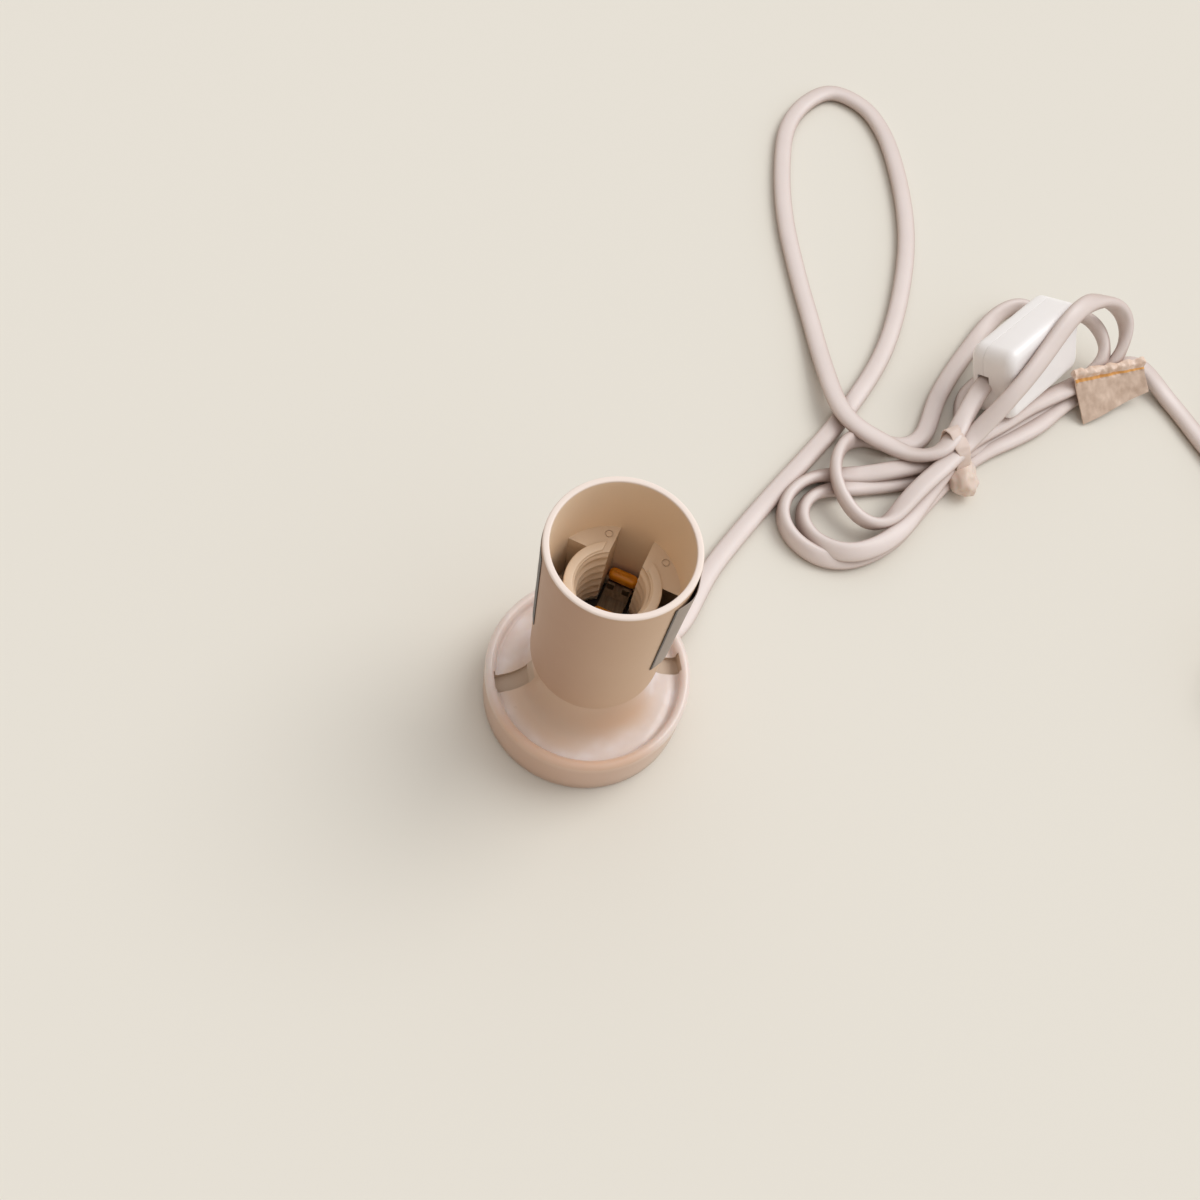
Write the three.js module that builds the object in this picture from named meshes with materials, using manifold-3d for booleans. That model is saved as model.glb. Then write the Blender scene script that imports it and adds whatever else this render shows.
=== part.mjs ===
// Lamp cord set: a plain small-cap lamp holder that stands on a round cup base, with a flat
// two-core cord that carries a rocker switch, a flag tag, a tie round its hank and a flat plug.
// Millimetres, +Z up. The origin is the centre of the base on the surface that it stands on.

import * as THREE from 'three';
import { mergeVertices } from 'three/addons/utils/BufferGeometryUtils.js';
import Module from 'manifold-3d';

const wasm = await Module();
wasm.setup();

// Driving dimensions
const seatGap = 0.3; // clearance between pieces that seat on each other
const roundFacets = 56; // facets round the visible turned pieces
const smallFacets = 24; // facets round small pieces

// Cup base
const cupRadius = 22;
const cupHeight = 14;
const cupWall = 2.2;
const cupFootRounding = 1.4;
const cupFloorDepth = 2.9; // from the lip down to the floor beside it
const cupFloorThickness = 2.3;
const cupWindowAngle = 48; // degrees, where the cord leaves
const cupWindowHeight = 5; // centre of the cord's window
const grooveAngle = 22.4; // degrees, the channel across the floor
const grooveWidth = 4;
const grooveDepth = 1.2;
const coverThickness = 1.6;
const coverLedge = 1.2; // how far the cup's foot reaches in under the wall

// Holder shell
const shellRadius = 14; // at the rim
const shellFootRadius = 13.3; // above the foot's rounding; the skirt widens from here to the rim
const shellWall = 1.25;
const shellHeight = 50.4;
const shellFootRounding = 8;
const shellFloor = 1.8;
const shellSeatHeight = 19.4; // underside of the shell above the table
const ledgeWidth = 2.9;
const ledgeHeight = 4;

// Threaded nipple that joins the base and the holder
const nippleRadius = 4.85;
const nippleBore = 3.2;
const nutAcrossFlats = 14;
const nutHeight = 3;
const washerRadius = 8.6;
const washerThickness = 0.8;
const bossThickness = 2.6;

// Thread insert
const insertHeight = 19.9; // from its underside to the deck
const ringProud = 0.7;
const ringRadius = 9.1;
const threadRadius = 7.05;
const slotWidth = 6.7;
const ringRelief = 1.25; // the ring stops this far short of the slot's walls
const hoopWidth = 1.1; // rim that joins the two halves under the slot
const hoopHeight = 1.7;
const pocketFar = 5.4;
const pocketNear = -3.7;
const pocketDepth = 13;
const deckThickness = 1.6;
const coringWall = 1.3;
const holderTurn = -10; // degrees, direction across the slot

// Contact carrier and contacts
const carrierHeight = 8.5;
const carrierWell = 4.2;
const carrierWellDepth = 5;
const pedestalLength = 2.6;
const pedestalWidth = 5;
const pedestalHeight = 3.4;
const contactThickness = 0.5;
const contactWidth = 5.2;
const insulatorLength = 5.9;
const insulatorWidth = 2;
const insulatorHeight = 2.1;
const insulatorOffset = 10.1; // side insulator from the axis
const spacerOffset = 2.2; // centre insulator from the axis
const terminalLength = 4;
const terminalWidth = 4.4;
const terminalHeight = 4.6;
const terminalOffset = 8;
const coreRadius = 1;

// Cord
const cordWidth = 4.8;
const cordThickness = 3;

// Cord clamp in the base
const clampInset = 9; // the clamp's middle from the cup's outer wall
const clampPostSpacing = 10.4;
const clampPostRadius = 2.1;
const clampBarThickness = 1.3;
const clampBarWidth = 4.4;
const screwRadius = 1;
const screwHeadRadius = 2;
const screwHeadHeight = 1;
const screwLength = 5.5;
const clampedCordHeight = 7;

// Rocker switch on the cord
const switchLength = 30;
const switchWidth = 20;
const switchThickness = 12;
const switchRounding = 3.4;
const switchEdge = 1.8; // rounding round the broad faces
const switchSplit = 8; // thickness of the back shell
const switchWall = 1.6;
const bossOffset = [8.5, 6.5]; // screws from the middle of the rocker's face
const screwWell = 1.9; // depth of the wells for the screws' heads
const switchCorner = [70.7, 109.2, 18.8]; // nearest upper corner of the housing
const switchDirection = 56.5; // degrees, its long axis over the table
const switchRoll = 29; // degrees, how far it leans over
const rockerLength = 15;
const rockerWidth = 8;
const rockerProud = 1.6;
const rockerTilt = 7; // degrees either side of level
const rockerGap = 0.4;
const rockerSwing = 0.9; // clearance at the rocker's ends, which swing outwards
const rockerPivotDepth = 2.6; // pivot below the front face
const bridgeLength = 12;
const bridgeThickness = 0.6;
const blockHeight = 3.2;
const blockWidth = 5;
const blockOffset = 9.8;

// Tag, tie and plug on the cord
const tagThickness = 0.7;
const tagShorter = 0.56; // height of the tag's far side, as a part of its near side's
const tieWidth = 5;
const tieThickness = 1;
const tiePlace = [76.2, 83.6];
const tieDirection = 41; // degrees, along the bundle
const bundleWidth = 15;
const hankHeight = 8.6;
const plugLength = 34;
const plugFaceWidth = 35;
const plugNeckWidth = 11;
const plugThickness = 13.7;
const plugPlace = [168, 74];
const plugDirection = -90; // degrees, from the cord towards the pins
const pinSpacing = 19;
const pinRadius = 2;
const pinLength = 19;
const sleeveLength = 10;
const sleeveRadius = 1.85;
const pinShankRadius = 1.3;
const pinRootLength = 8;

// Coil of the length that is put away
const coilCentre = [177.5, 118];
const coilRadius = 27; // to the middle of the turns
const coilWidth = 15.2;
const coilHeight = 6.6;
const cordRest = 0.1; // height of the cord's underside above the table

const degrees = Math.PI / 180;

// Materials
const whiteShell = new THREE.MeshStandardMaterial({ color: 0xf1ebe2, roughness: 0.42 });
const milkyCup = new THREE.MeshStandardMaterial({ color: 0xeee9e4, roughness: 0.3 });
const darkCarrier = new THREE.MeshStandardMaterial({ color: 0x2c2621, roughness: 0.55 });
const orangeInsulator = new THREE.MeshStandardMaterial({ color: 0xe07a12, roughness: 0.45 });
const contactMetal = new THREE.MeshStandardMaterial({ color: 0xb3a58c, roughness: 0.35, metalness: 1 });
const zincSteel = new THREE.MeshStandardMaterial({ color: 0xb9bcc0, roughness: 0.4, metalness: 1 });
const brassPin = new THREE.MeshStandardMaterial({ color: 0xc9c6bd, roughness: 0.25, metalness: 1 });
const whiteCord = new THREE.MeshStandardMaterial({ color: 0xf4f0ec, roughness: 0.5 });
const whiteSwitch = new THREE.MeshStandardMaterial({ color: 0xf8f6f2, roughness: 0.35 });
const brownCore = new THREE.MeshStandardMaterial({ color: 0x6b3f22, roughness: 0.55 });
const blueCore = new THREE.MeshStandardMaterial({ color: 0x2f6fb0, roughness: 0.55 });
const greyCover = new THREE.MeshStandardMaterial({ color: 0xd8d4cf, roughness: 0.6 });
const tagFilm = new THREE.MeshStandardMaterial({ color: 0xe8ddd0, roughness: 0.5 });

// Closed mesh with shared corners, no empty faces, and every face turned outwards
function closed(geometry) {
  const bare = new THREE.BufferGeometry();
  bare.setAttribute('position', geometry.getAttribute('position'));
  bare.setIndex(geometry.getIndex());
  const merged = mergeVertices(bare, 1e-4);
  const all = merged.getIndex().array;
  const at = (i) => new THREE.Vector3().fromBufferAttribute(merged.getAttribute('position'), i);
  const faces = [];
  let volume = 0;
  for (let i = 0; i < all.length; i += 3) {
    const [a, b, c] = [all[i], all[i + 1], all[i + 2]];
    if (a !== b && b !== c && c !== a) {
      faces.push([a, b, c]);
      volume += at(a).dot(at(b).cross(at(c)));
    }
  }
  merged.setIndex(faces.flatMap(([a, b, c]) => (volume < 0 ? [a, c, b] : [a, b, c])));
  return merged;
}

function toSolid(geometry) {
  const mesh = closed(geometry);
  return new wasm.Manifold(new wasm.Mesh({
    numProp: 3,
    vertProperties: new Float32Array(mesh.getAttribute('position').array),
    triVerts: new Uint32Array(mesh.getIndex().array),
  }));
}

function toGeometry(solid) {
  const mesh = solid.getMesh();
  const geometry = new THREE.BufferGeometry();
  geometry.setAttribute('position', new THREE.BufferAttribute(mesh.vertProperties, 3));
  geometry.setIndex(new THREE.BufferAttribute(mesh.triVerts, 1));
  return geometry;
}

const cut = (body, ...tools) =>
  toGeometry(tools.reduce((left, tool) => left.subtract(toSolid(tool)), toSolid(body)));
const join = (...bodies) => toGeometry(bodies.map(toSolid).reduce((sum, next) => sum.add(next)));
const common = (a, b) => toGeometry(toSolid(a).intersect(toSolid(b)));

// Turned piece from a profile of [radius, height] points, about the Z axis
function turned(profile, facets = roundFacets) {
  const points = profile.map(([r, z]) => new THREE.Vector2(r, z));
  return closed(new THREE.LatheGeometry(points, facets).rotateX(Math.PI / 2));
}

const rod = (radius, low, high, facets = smallFacets) =>
  turned([[0, low], [radius, low], [radius, high], [0, high]], facets);

const tube = (inner, outer, low, high, facets = smallFacets) =>
  turned([[inner, low], [outer, low], [outer, high], [inner, high], [inner, low]], facets);

function block(from, to) {
  const [low, high] = [new THREE.Vector3(...from), new THREE.Vector3(...to)];
  const size = high.clone().sub(low);
  const centre = low.add(high).multiplyScalar(0.5);
  return new THREE.BoxGeometry(size.x, size.y, size.z).translate(centre.x, centre.y, centre.z);
}

// Points on an arc, from one angle to another in degrees
function arc(x, y, radius, from, to, steps) {
  const point = (i) => {
    const angle = (from + ((to - from) * i) / steps) * degrees;
    return [x + radius * Math.cos(angle), y + radius * Math.sin(angle)];
  };
  return Array.from({ length: steps + 1 }, (_, i) => point(i));
}

function outline(points) {
  return new THREE.Shape(points.map(([x, y]) => new THREE.Vector2(x, y)));
}

function roundedOutline(length, width, radius, steps = 4) {
  const [x, y] = [length / 2 - radius, width / 2 - radius];
  const corners = [[x, y, 0], [-x, y, 90], [-x, -y, 180], [x, -y, 270]];
  return outline(corners.flatMap(([cx, cy, a]) => arc(cx, cy, radius, a, a + 90, steps)));
}

// Plate of the given outline from one height to another, its two faces bevelled by edge
function plate(shape, low, high, edge = 0, edgeSteps = 2) {
  const settings = {
    depth: high - low - 2 * edge,
    bevelEnabled: edge > 0,
    bevelThickness: edge,
    bevelSize: edge,
    bevelOffset: -edge,
    bevelSegments: edgeSteps,
    curveSegments: smallFacets / 2,
  };
  return closed(new THREE.ExtrudeGeometry(shape, settings).translate(0, 0, low + edge));
}

// Smooth curve through points that are picked by hand
const route = (points) =>
  new THREE.CatmullRomCurve3(points.map((p) => new THREE.Vector3(...p)), false, 'centripetal');

function swept(section, points, steps) {
  return closed(new THREE.ExtrudeGeometry(section, { steps, extrudePath: route(points), bevelEnabled: false }));
}

// Flat cord along a route: a wide eight-sided section that lies on its broad side
function flatCord(points, steps) {
  const [h, w] = [cordThickness / 2, cordWidth / 2];
  const cant = h * 0.55;
  const section = outline([
    [h, w - cant], [cant - h * 0.55, w], [-h, w - cant], [-h, cant - w],
    [cant - h * 0.55, -w], [h, cant - w], [h, -w / 3], [h, w / 3],
  ]);
  return swept(section, points, steps);
}

function roundWire(points, radius, steps, sides = 8) {
  return swept(outline(arc(0, 0, radius, 0, 360, sides).slice(0, -1)), points, steps);
}

const turnedAbout = (geometry, angle) => geometry.clone().rotateZ(angle * degrees);

const part = new THREE.Group();

function piece(group, name, geometry, material) {
  const mesh = new THREE.Mesh(closed(geometry), material);
  mesh.name = name;
  group.add(mesh);
  return mesh;
}

// Cup base
const boreClear = nippleRadius + seatGap;
const clampRadius = cupRadius - clampInset;
const lipRadius = cupWall / 2;
const lipInside = cupRadius - cupWall;
const footTop = coverThickness + 2 * seatGap;
const coverRadius = cupRadius - cupFootRounding - coverLedge;
const wallInside = lipInside - 1.4;
const shellArc = [shellFootRadius - shellFootRounding, shellSeatHeight + shellFootRounding];
const seatArcRadius = shellFootRounding + seatGap;
const collarAngle = -43;
const trumpetBend = 1.2; // how far outside the collar the floor's curve turns up
const seatTop = shellSeatHeight - seatGap;
const bossUnderside = seatTop - bossThickness;

// Trumpet-shaped floor between the lip and the collar, lowered by drop
function floorCurve(drop) {
  const collar = [
    shellArc[0] + seatArcRadius * Math.cos(collarAngle * degrees) + 0.2,
    shellArc[1] + seatArcRadius * Math.sin(collarAngle * degrees) - 0.1,
  ];
  const start = new THREE.Vector2(lipInside, cupHeight - cupFloorDepth - drop);
  const bend = new THREE.Vector2(collar[0] + trumpetBend, cupHeight - cupFloorDepth + 0.7 - drop);
  const end = new THREE.Vector2(collar[0], collar[1] - drop);
  return new THREE.QuadraticBezierCurve(start, bend, end).getPoints(6).map((p) => [p.x, p.y]);
}

function cupBase() {
  const underside = new THREE.QuadraticBezierCurve(
    new THREE.Vector2(boreClear + 4.4, bossUnderside),
    new THREE.Vector2(floorCurve(0).at(-1)[0] + trumpetBend - cupFloorThickness, cupHeight - cupFloorDepth - 1.4),
    new THREE.Vector2(wallInside, cupHeight - cupFloorDepth - cupFloorThickness),
  ).getPoints(6).map((p) => [p.x, p.y]);
  const body = turned([
    [coverRadius + seatGap, 0],
    ...arc(cupRadius - cupFootRounding, cupFootRounding, cupFootRounding, -90, 0, 4),
    ...arc(cupRadius - lipRadius, cupHeight - lipRadius, lipRadius, 0, 180, 6),
    ...floorCurve(0),
    ...arc(shellArc[0], shellArc[1], seatArcRadius, collarAngle, -90, 5),
    [boreClear, seatTop],
    [boreClear, bossUnderside],
    ...underside,
    [wallInside, footTop],
    [coverRadius + seatGap, footTop],
    [coverRadius + seatGap, 0],
  ]);

  // Channel across the floor: the floor's own curve, sunk by the groove's depth
  const sunk = turned([
    ...floorCurve(grooveDepth).map(([r, z]) => [Math.min(r + (r > lipInside - 0.1 ? 0.5 : 0), cupRadius), z]),
    [shellArc[0] + seatArcRadius, cupHeight + 8],
    [lipInside + 0.5, cupHeight - 0.6],
    [lipInside + 0.5, cupHeight - cupFloorDepth - grooveDepth],
  ]);
  const lane = turnedAbout(
    block([-cupRadius, -grooveWidth / 2, cupFootRounding], [cupRadius, grooveWidth / 2, shellArc[1]]),
    grooveAngle,
  );
  const keep = rod(shellArc[0] + seatArcRadius - 0.2, 0, shellArc[1] + 5, roundFacets);
  const channel = cut(common(sunk, lane), keep);

  // Window for the cord, an upright stadium through the wall
  const half = [cordWidth / 2 + 0.7, cordThickness / 2 + 0.7];
  const stadium = outline([
    ...arc(half[0] - half[1], 0, half[1], -90, 90, 6),
    ...arc(half[1] - half[0], 0, half[1], 90, 270, 6),
  ]);
  const opening = plate(stadium, lipInside - 4, cupRadius + 1)
    .rotateX(Math.PI / 2)
    .rotateZ(Math.PI)
    .translate(0, 0, cupWindowHeight)
    .rotateZ((cupWindowAngle - 90) * degrees);

  // Posts that the clamp bar is screwed to, and their screw holes
  const postTop = cupHeight - cupFloorDepth;
  const posts = [-1, 1].map((side) =>
    rod(clampPostRadius, postLow, postTop, smallFacets)
      .translate(clampRadius, (side * clampPostSpacing) / 2, 0)
      .rotateZ(cupWindowAngle * degrees));
  const holes = [-1, 1].map((side) =>
    rod(screwRadius + seatGap, postLow - 1, postLow + screwLength - clampBarThickness, 12)
      .translate(clampRadius, (side * clampPostSpacing) / 2, 0)
      .rotateZ(cupWindowAngle * degrees));
  return cut(join(cut(body, channel, opening), ...posts), ...holes);
}

const postLow = clampedCordHeight - cordThickness / 2;
piece(part, 'base_cup', cupBase(), milkyCup);
piece(part, 'base_cover', turned([
  [0, seatGap], [coverRadius - 0.5, seatGap], [coverRadius, seatGap + 0.5],
  [coverRadius, seatGap + coverThickness], [0, seatGap + coverThickness],
]), greyCover);

// Nipple, nuts and washer
const lowerNutTop = bossUnderside - 2 * seatGap - washerThickness;
const shellFloorTop = shellSeatHeight + shellFloor;
const upperNutLow = shellFloorTop + seatGap;
const nippleLow = lowerNutTop - nutHeight - 1;
const nippleTop = upperNutLow + nutHeight + 0.7;

function hexNut(low) {
  const corner = nutAcrossFlats / 2 / Math.cos(30 * degrees);
  const hexagon = plate(outline(arc(0, 0, corner, 0, 360, 6).slice(0, -1)), low, low + nutHeight);
  return cut(hexagon, rod(boreClear, low - 1, low + nutHeight + 1));
}

piece(part, 'nipple', turned([
  [nippleBore, nippleLow], [nippleRadius - 0.5, nippleLow], [nippleRadius, nippleLow + 0.5],
  [nippleRadius, nippleTop - 0.5], [nippleRadius - 0.5, nippleTop], [nippleBore, nippleTop],
  [nippleBore, nippleLow],
], 32), zincSteel);
const washerTop = bossUnderside - seatGap;
piece(part, 'nipple_washer', tube(boreClear, washerRadius, washerTop - washerThickness, washerTop), zincSteel);
piece(part, 'nipple_lower_nut', hexNut(lowerNutTop - nutHeight), zincSteel);
piece(part, 'nipple_upper_nut', hexNut(upperNutLow), zincSteel);

// Cord clamp: the cord runs between the bar and the cup, above the screws' heads
const barTop = postLow - 2 * seatGap;
const barLow = barTop - clampBarThickness;
const screwAt = [-1, 1].map((side) => [clampRadius, (side * clampPostSpacing) / 2]);

function clampBar() {
  const half = clampPostSpacing / 2;
  const shape = outline([
    ...arc(clampRadius, half, clampBarWidth / 2, 0, 180, 6),
    ...arc(clampRadius, -half, clampBarWidth / 2, 180, 360, 6),
  ]);
  const holes = screwAt.map(([x, y]) =>
    rod(screwRadius + seatGap, barLow - 1, barTop + 1, 12).translate(x, y, 0));
  return turnedAbout(cut(plate(shape, barLow, barTop), ...holes), cupWindowAngle);
}

piece(part, 'cord_clamp_bar', clampBar(), whiteShell);
screwAt.forEach(([x, y], i) => {
  const headTop = barLow - seatGap;
  const screw = turned([
    [0, headTop - screwHeadHeight], [screwHeadRadius * 0.8, headTop - screwHeadHeight],
    [screwHeadRadius, headTop - screwHeadHeight / 2], [screwHeadRadius, headTop], [screwRadius, headTop],
    [screwRadius, headTop + screwLength - 0.8], [0, headTop + screwLength],
  ], 12);
  piece(part, `cord_clamp_screw_${i + 1}`, turnedAbout(screw.translate(x, y, 0), cupWindowAngle), zincSteel);
});

// Cord inside the base, and its two cores up through the nipple
const outward = (radius, height, side = 0) => {
  const angle = cupWindowAngle * degrees;
  return [
    radius * Math.cos(angle) - side * Math.sin(angle),
    radius * Math.sin(angle) + side * Math.cos(angle),
    height,
  ];
};
const innerCordEnd = 8.5;
piece(part, 'cord_inside', flatCord([
  outward(cupRadius - 0.6, cupWindowHeight),
  outward(cupRadius - 4, cupWindowHeight + 0.1),
  outward(clampRadius + 2, clampedCordHeight + 0.05),
  outward(clampRadius - 2.5, clampedCordHeight + 0.1),
  outward(innerCordEnd, clampedCordHeight + 0.3),
], 8), whiteCord);

// Holder: everything in it is turned with its slot
const holder = new THREE.Group();
holder.rotation.z = holderTurn * degrees;
part.add(holder);

const shellTop = shellSeatHeight + shellHeight;
const mouthRadius = shellRadius - shellWall;
const shellInside = shellFootRadius - shellWall; // at the ledge
const ledgeTop = shellFloorTop + ledgeHeight;
piece(holder, 'holder_shell', turned([
  [boreClear, shellSeatHeight],
  ...arc(shellArc[0], shellArc[1], shellFootRounding, -90, 0, 8),
  [shellRadius, shellTop - 0.35],
  [shellRadius - 0.35, shellTop],
  [mouthRadius + 0.25, shellTop],
  [mouthRadius, shellTop - 0.25],
  [shellInside, ledgeTop],
  [shellInside - ledgeWidth, ledgeTop],
  [shellInside - ledgeWidth, shellFloorTop],
  [boreClear, shellFloorTop],
  [boreClear, shellSeatHeight],
]), whiteShell);

// Contact carrier: a disc on the ledge with two pedestals, a wire well and terminal pockets
const insideRadius = shellInside - seatGap;
const carrierLow = ledgeTop + seatGap;
const carrierTop = carrierLow + carrierHeight;
const pedestalTop = carrierTop + pedestalHeight;
const pedestalOut = insideRadius - hoopWidth - 2 * seatGap;

function contactCarrier() {
  const disc = turned([
    [0, carrierLow], [insideRadius - 0.6, carrierLow], [insideRadius, carrierLow + 0.6],
    [insideRadius, carrierTop], [0, carrierTop],
  ], 48);
  const pedestals = [-1, 1].map((side) => {
    const near = side * (pedestalOut - pedestalLength);
    const far = side * pedestalOut;
    return block(
      [-pedestalWidth / 2, Math.min(near, far), carrierTop - 1],
      [pedestalWidth / 2, Math.max(near, far), pedestalTop],
    );
  });
  const well = rod(carrierWell, carrierLow - 1, carrierLow + carrierWellDepth);
  const pocketHalf = terminalLength / 2 + seatGap;
  const pockets = [-1, 1].map((side) => block(
    [-terminalWidth / 2 - seatGap, side * terminalOffset - pocketHalf, carrierLow - 1],
    [terminalWidth / 2 + seatGap, side * terminalOffset + pocketHalf, terminalTop + seatGap],
  ));
  const wireWay = block([-1.8, -terminalOffset, carrierLow - 1], [1.8, terminalOffset, carrierLow + 4]);
  return cut(join(disc, ...pedestals), well, wireWay, ...pockets);
}

const terminalLow = carrierLow + 0.2;
const terminalTop = terminalLow + terminalHeight;
piece(holder, 'contact_carrier', contactCarrier(), darkCarrier);

// Terminal: a folded clamp cage that grips the bared core
function terminal(side) {
  const [x, y] = [terminalWidth / 2, terminalLength / 2];
  const centre = side * terminalOffset;
  const cage = block([-x, centre - y, terminalLow], [x, centre + y, terminalTop]);
  const inner = block(
    [-x + 0.7, centre - y - 1, terminalLow + 0.7],
    [x - 0.7, centre + y + 1, terminalTop - 0.7],
  );
  return cut(cage, inner);
}

piece(holder, 'terminal_side', terminal(1), contactMetal);
piece(holder, 'terminal_centre', terminal(-1), contactMetal);

// Cores: each rises through the nipple and turns out into its terminal
function core(side) {
  const bend = carrierLow + 1.9;
  const towards = new THREE.Vector3(...outward(innerCordEnd - 0.5, clampedCordHeight + 0.35, side * 1.2));
  towards.applyAxisAngle(new THREE.Vector3(0, 0, 1), -holderTurn * degrees);
  const inwards = new THREE.Vector3(...outward(3.4, clampedCordHeight + 1.5, side * 1.25));
  inwards.applyAxisAngle(new THREE.Vector3(0, 0, 1), -holderTurn * degrees);
  return roundWire([
    towards.toArray(),
    inwards.toArray(),
    [-side * 0.6, side * 1.25, nippleLow],
    [0, side * 1.5, nippleLow + 4],
    [0, side * 1.5, nippleTop - 0.6],
    [0, side * 3.4, bend + 0.4],
    [0, side * (terminalOffset - 0.6), bend + 0.7],
  ], coreRadius, 20);
}

piece(holder, 'core_side', core(1), blueCore);
piece(holder, 'core_centre', core(-1), brownCore);

// Thread insert: deck, threaded ring in two halves, slot, pockets and coring, in one moulding
const insertLow = carrierTop + seatGap;
const deckTop = insertLow + insertHeight;
const wallSlope = (mouthRadius - shellInside) / (shellTop - ledgeTop);
const deckRadius = shellInside + wallSlope * (deckTop - ledgeTop) - seatGap;

function threadInsert() {
  const ringTop = deckTop + ringProud;
  const body = turned([
    [threadRadius, insertLow], [insideRadius, insertLow], [deckRadius, deckTop], [ringRadius, deckTop],
    [ringRadius, ringTop - 0.2], [ringRadius - 0.2, ringTop], [threadRadius + 0.4, ringTop],
    [threadRadius, ringTop - 0.4], [threadRadius, insertLow],
  ]);
  const reach = deckRadius + 1;
  const slot = block([-slotWidth / 2, -reach, insertLow + hoopHeight], [slotWidth / 2, reach, ringTop + 1]);
  const relief = block(
    [-slotWidth / 2 - ringRelief, -reach, deckTop],
    [slotWidth / 2 + ringRelief, reach, ringTop + 1],
  );
  const underSlot = common(
    block([-slotWidth / 2, -reach, insertLow - 1], [slotWidth / 2, reach, ringTop]),
    rod(insideRadius - hoopWidth, insertLow - 1, ringTop, roundFacets),
  );
  const ringCore = rod(ringRadius, insertLow - 2, ringTop + 2, roundFacets);
  const pocket = cut(
    block([-reach, pocketNear, deckTop - pocketDepth], [0, pocketFar, deckTop + 1]),
    ringCore,
  );
  const coringTop = deckTop - deckThickness;
  const coringBand = tube(ringRadius, insideRadius - coringWall, insertLow - 1, coringTop, roundFacets);
  const coringFar = common(coringBand, block(
    [-reach, pocketFar + coringWall, insertLow - 2],
    [-slotWidth / 2 - coringWall, reach, deckTop],
  ));
  const coringNear = common(coringBand, block(
    [-reach, -reach, insertLow - 2],
    [-slotWidth / 2 - coringWall, pocketNear - coringWall, deckTop],
  ));
  const oneHalf = [pocket, coringFar, coringNear];
  return cut(body, slot, relief, underSlot, ...oneHalf, ...oneHalf.map((tool) => turnedAbout(tool, 180)));
}

piece(holder, 'thread_insert', threadInsert(), whiteShell);

// Contacts: one strip on each pedestal. The side one has two upright tabs for the lamp's thread.
const stripLow = pedestalTop + seatGap;
const stripTop = stripLow + contactThickness;

// A bent strip: its centre line is a list of [height, distance from the axis] points
function bentStrip(line, width) {
  const top = line.map(([z, u]) => [z + contactThickness, u]);
  const side = outline([...line, ...top.reverse()]);
  return closed(new THREE.ExtrudeGeometry(side, { depth: width, bevelEnabled: false }))
    .applyMatrix4(new THREE.Matrix4().makeBasis(
      new THREE.Vector3(0, 0, 1),
      new THREE.Vector3(0, 1, 0),
      new THREE.Vector3(-1, 0, 0),
    ))
    .translate(width / 2, 0, 0);
}

const sideLine = [
  [stripLow, pedestalOut - 0.2],
  [stripLow, pedestalOut - pedestalLength],
  [stripLow - 1.2, pedestalOut - pedestalLength - 1.2],
  [stripLow - 1.2, spacerOffset + insulatorWidth / 2 + seatGap],
];
const tabs = [-1, 1].map((side) => block(
  [side * 1.6 - 0.7, threadRadius + 0.3, stripLow],
  [side * 1.6 + 0.7, threadRadius + 0.8, stripTop + 2],
));
piece(holder, 'side_contact', join(bentStrip(sideLine, contactWidth), ...tabs), contactMetal);

const centreLine = [
  [stripLow, -pedestalOut + 0.2],
  [stripLow, -pedestalOut + pedestalLength],
  [stripLow - 1, -4.6],
  [stripLow + 0.5, -1.6],
  [stripLow + 0.6, 0],
  [stripLow + 0.2, spacerOffset - insulatorWidth / 2 - seatGap],
];
piece(holder, 'centre_contact', bentStrip(centreLine, contactWidth - 1), contactMetal);

// Insulators: capsule-shaped bars across the slot
function insulator(offset, low) {
  const end = insulatorWidth / 2;
  const reach = insulatorLength / 2 - end;
  const capsule = outline([...arc(reach, 0, end, -90, 90, 6), ...arc(-reach, 0, end, 90, 270, 6)]);
  return plate(capsule, low, low + insulatorHeight, 0.5).translate(0, offset, 0);
}

piece(holder, 'side_insulator', insulator(insulatorOffset, stripTop + seatGap), orangeInsulator);
piece(holder, 'centre_insulator', insulator(spacerOffset, stripLow - 2), orangeInsulator);

// Rocker switch: its frame has X along the housing and Z out of the rocker's face
const switchGroup = new THREE.Group();
const along = new THREE.Vector3(Math.cos(switchDirection * degrees), Math.sin(switchDirection * degrees), 0);
const across = new THREE.Vector3(along.y, -along.x, 0);
const lean = across.clone().multiplyScalar(Math.cos(switchRoll * degrees))
  .add(new THREE.Vector3(0, 0, Math.sin(switchRoll * degrees)));
const down = across.clone().multiplyScalar(Math.sin(switchRoll * degrees))
  .add(new THREE.Vector3(0, 0, -Math.cos(switchRoll * degrees)));
const switchCentre = new THREE.Vector3(...switchCorner)
  .addScaledVector(along, switchLength / 2)
  .addScaledVector(lean, switchThickness / 2)
  .addScaledVector(down, switchWidth / 2);
switchGroup.applyMatrix4(new THREE.Matrix4()
  .makeBasis(along, down, lean.clone().negate())
  .setPosition(switchCentre));
part.add(switchGroup);

const switchBack = -switchThickness / 2;
const switchFront = switchThickness / 2;
const splitHeight = switchBack + switchSplit;
const housing = roundedOutline(switchLength, switchWidth, switchRounding, 5);
const cavity = roundedOutline(
  switchLength - 2 * switchWall, switchWidth - 2 * switchWall, switchRounding - switchWall, 3,
);
const cordWay = (low, high) => block(
  [-switchLength, -cordWidth / 2 - 0.4, low],
  [switchLength, cordWidth / 2 + 0.4, high],
);
const cordWayCut = cordWay(splitHeight - cordThickness / 2 - 0.4, splitHeight + cordThickness / 2 + 0.4);
const bossPlaces = [-1, 1].map((side) => [side * bossOffset[0], bossOffset[1]]);
const wellFloor = switchFront - screwWell;

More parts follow.
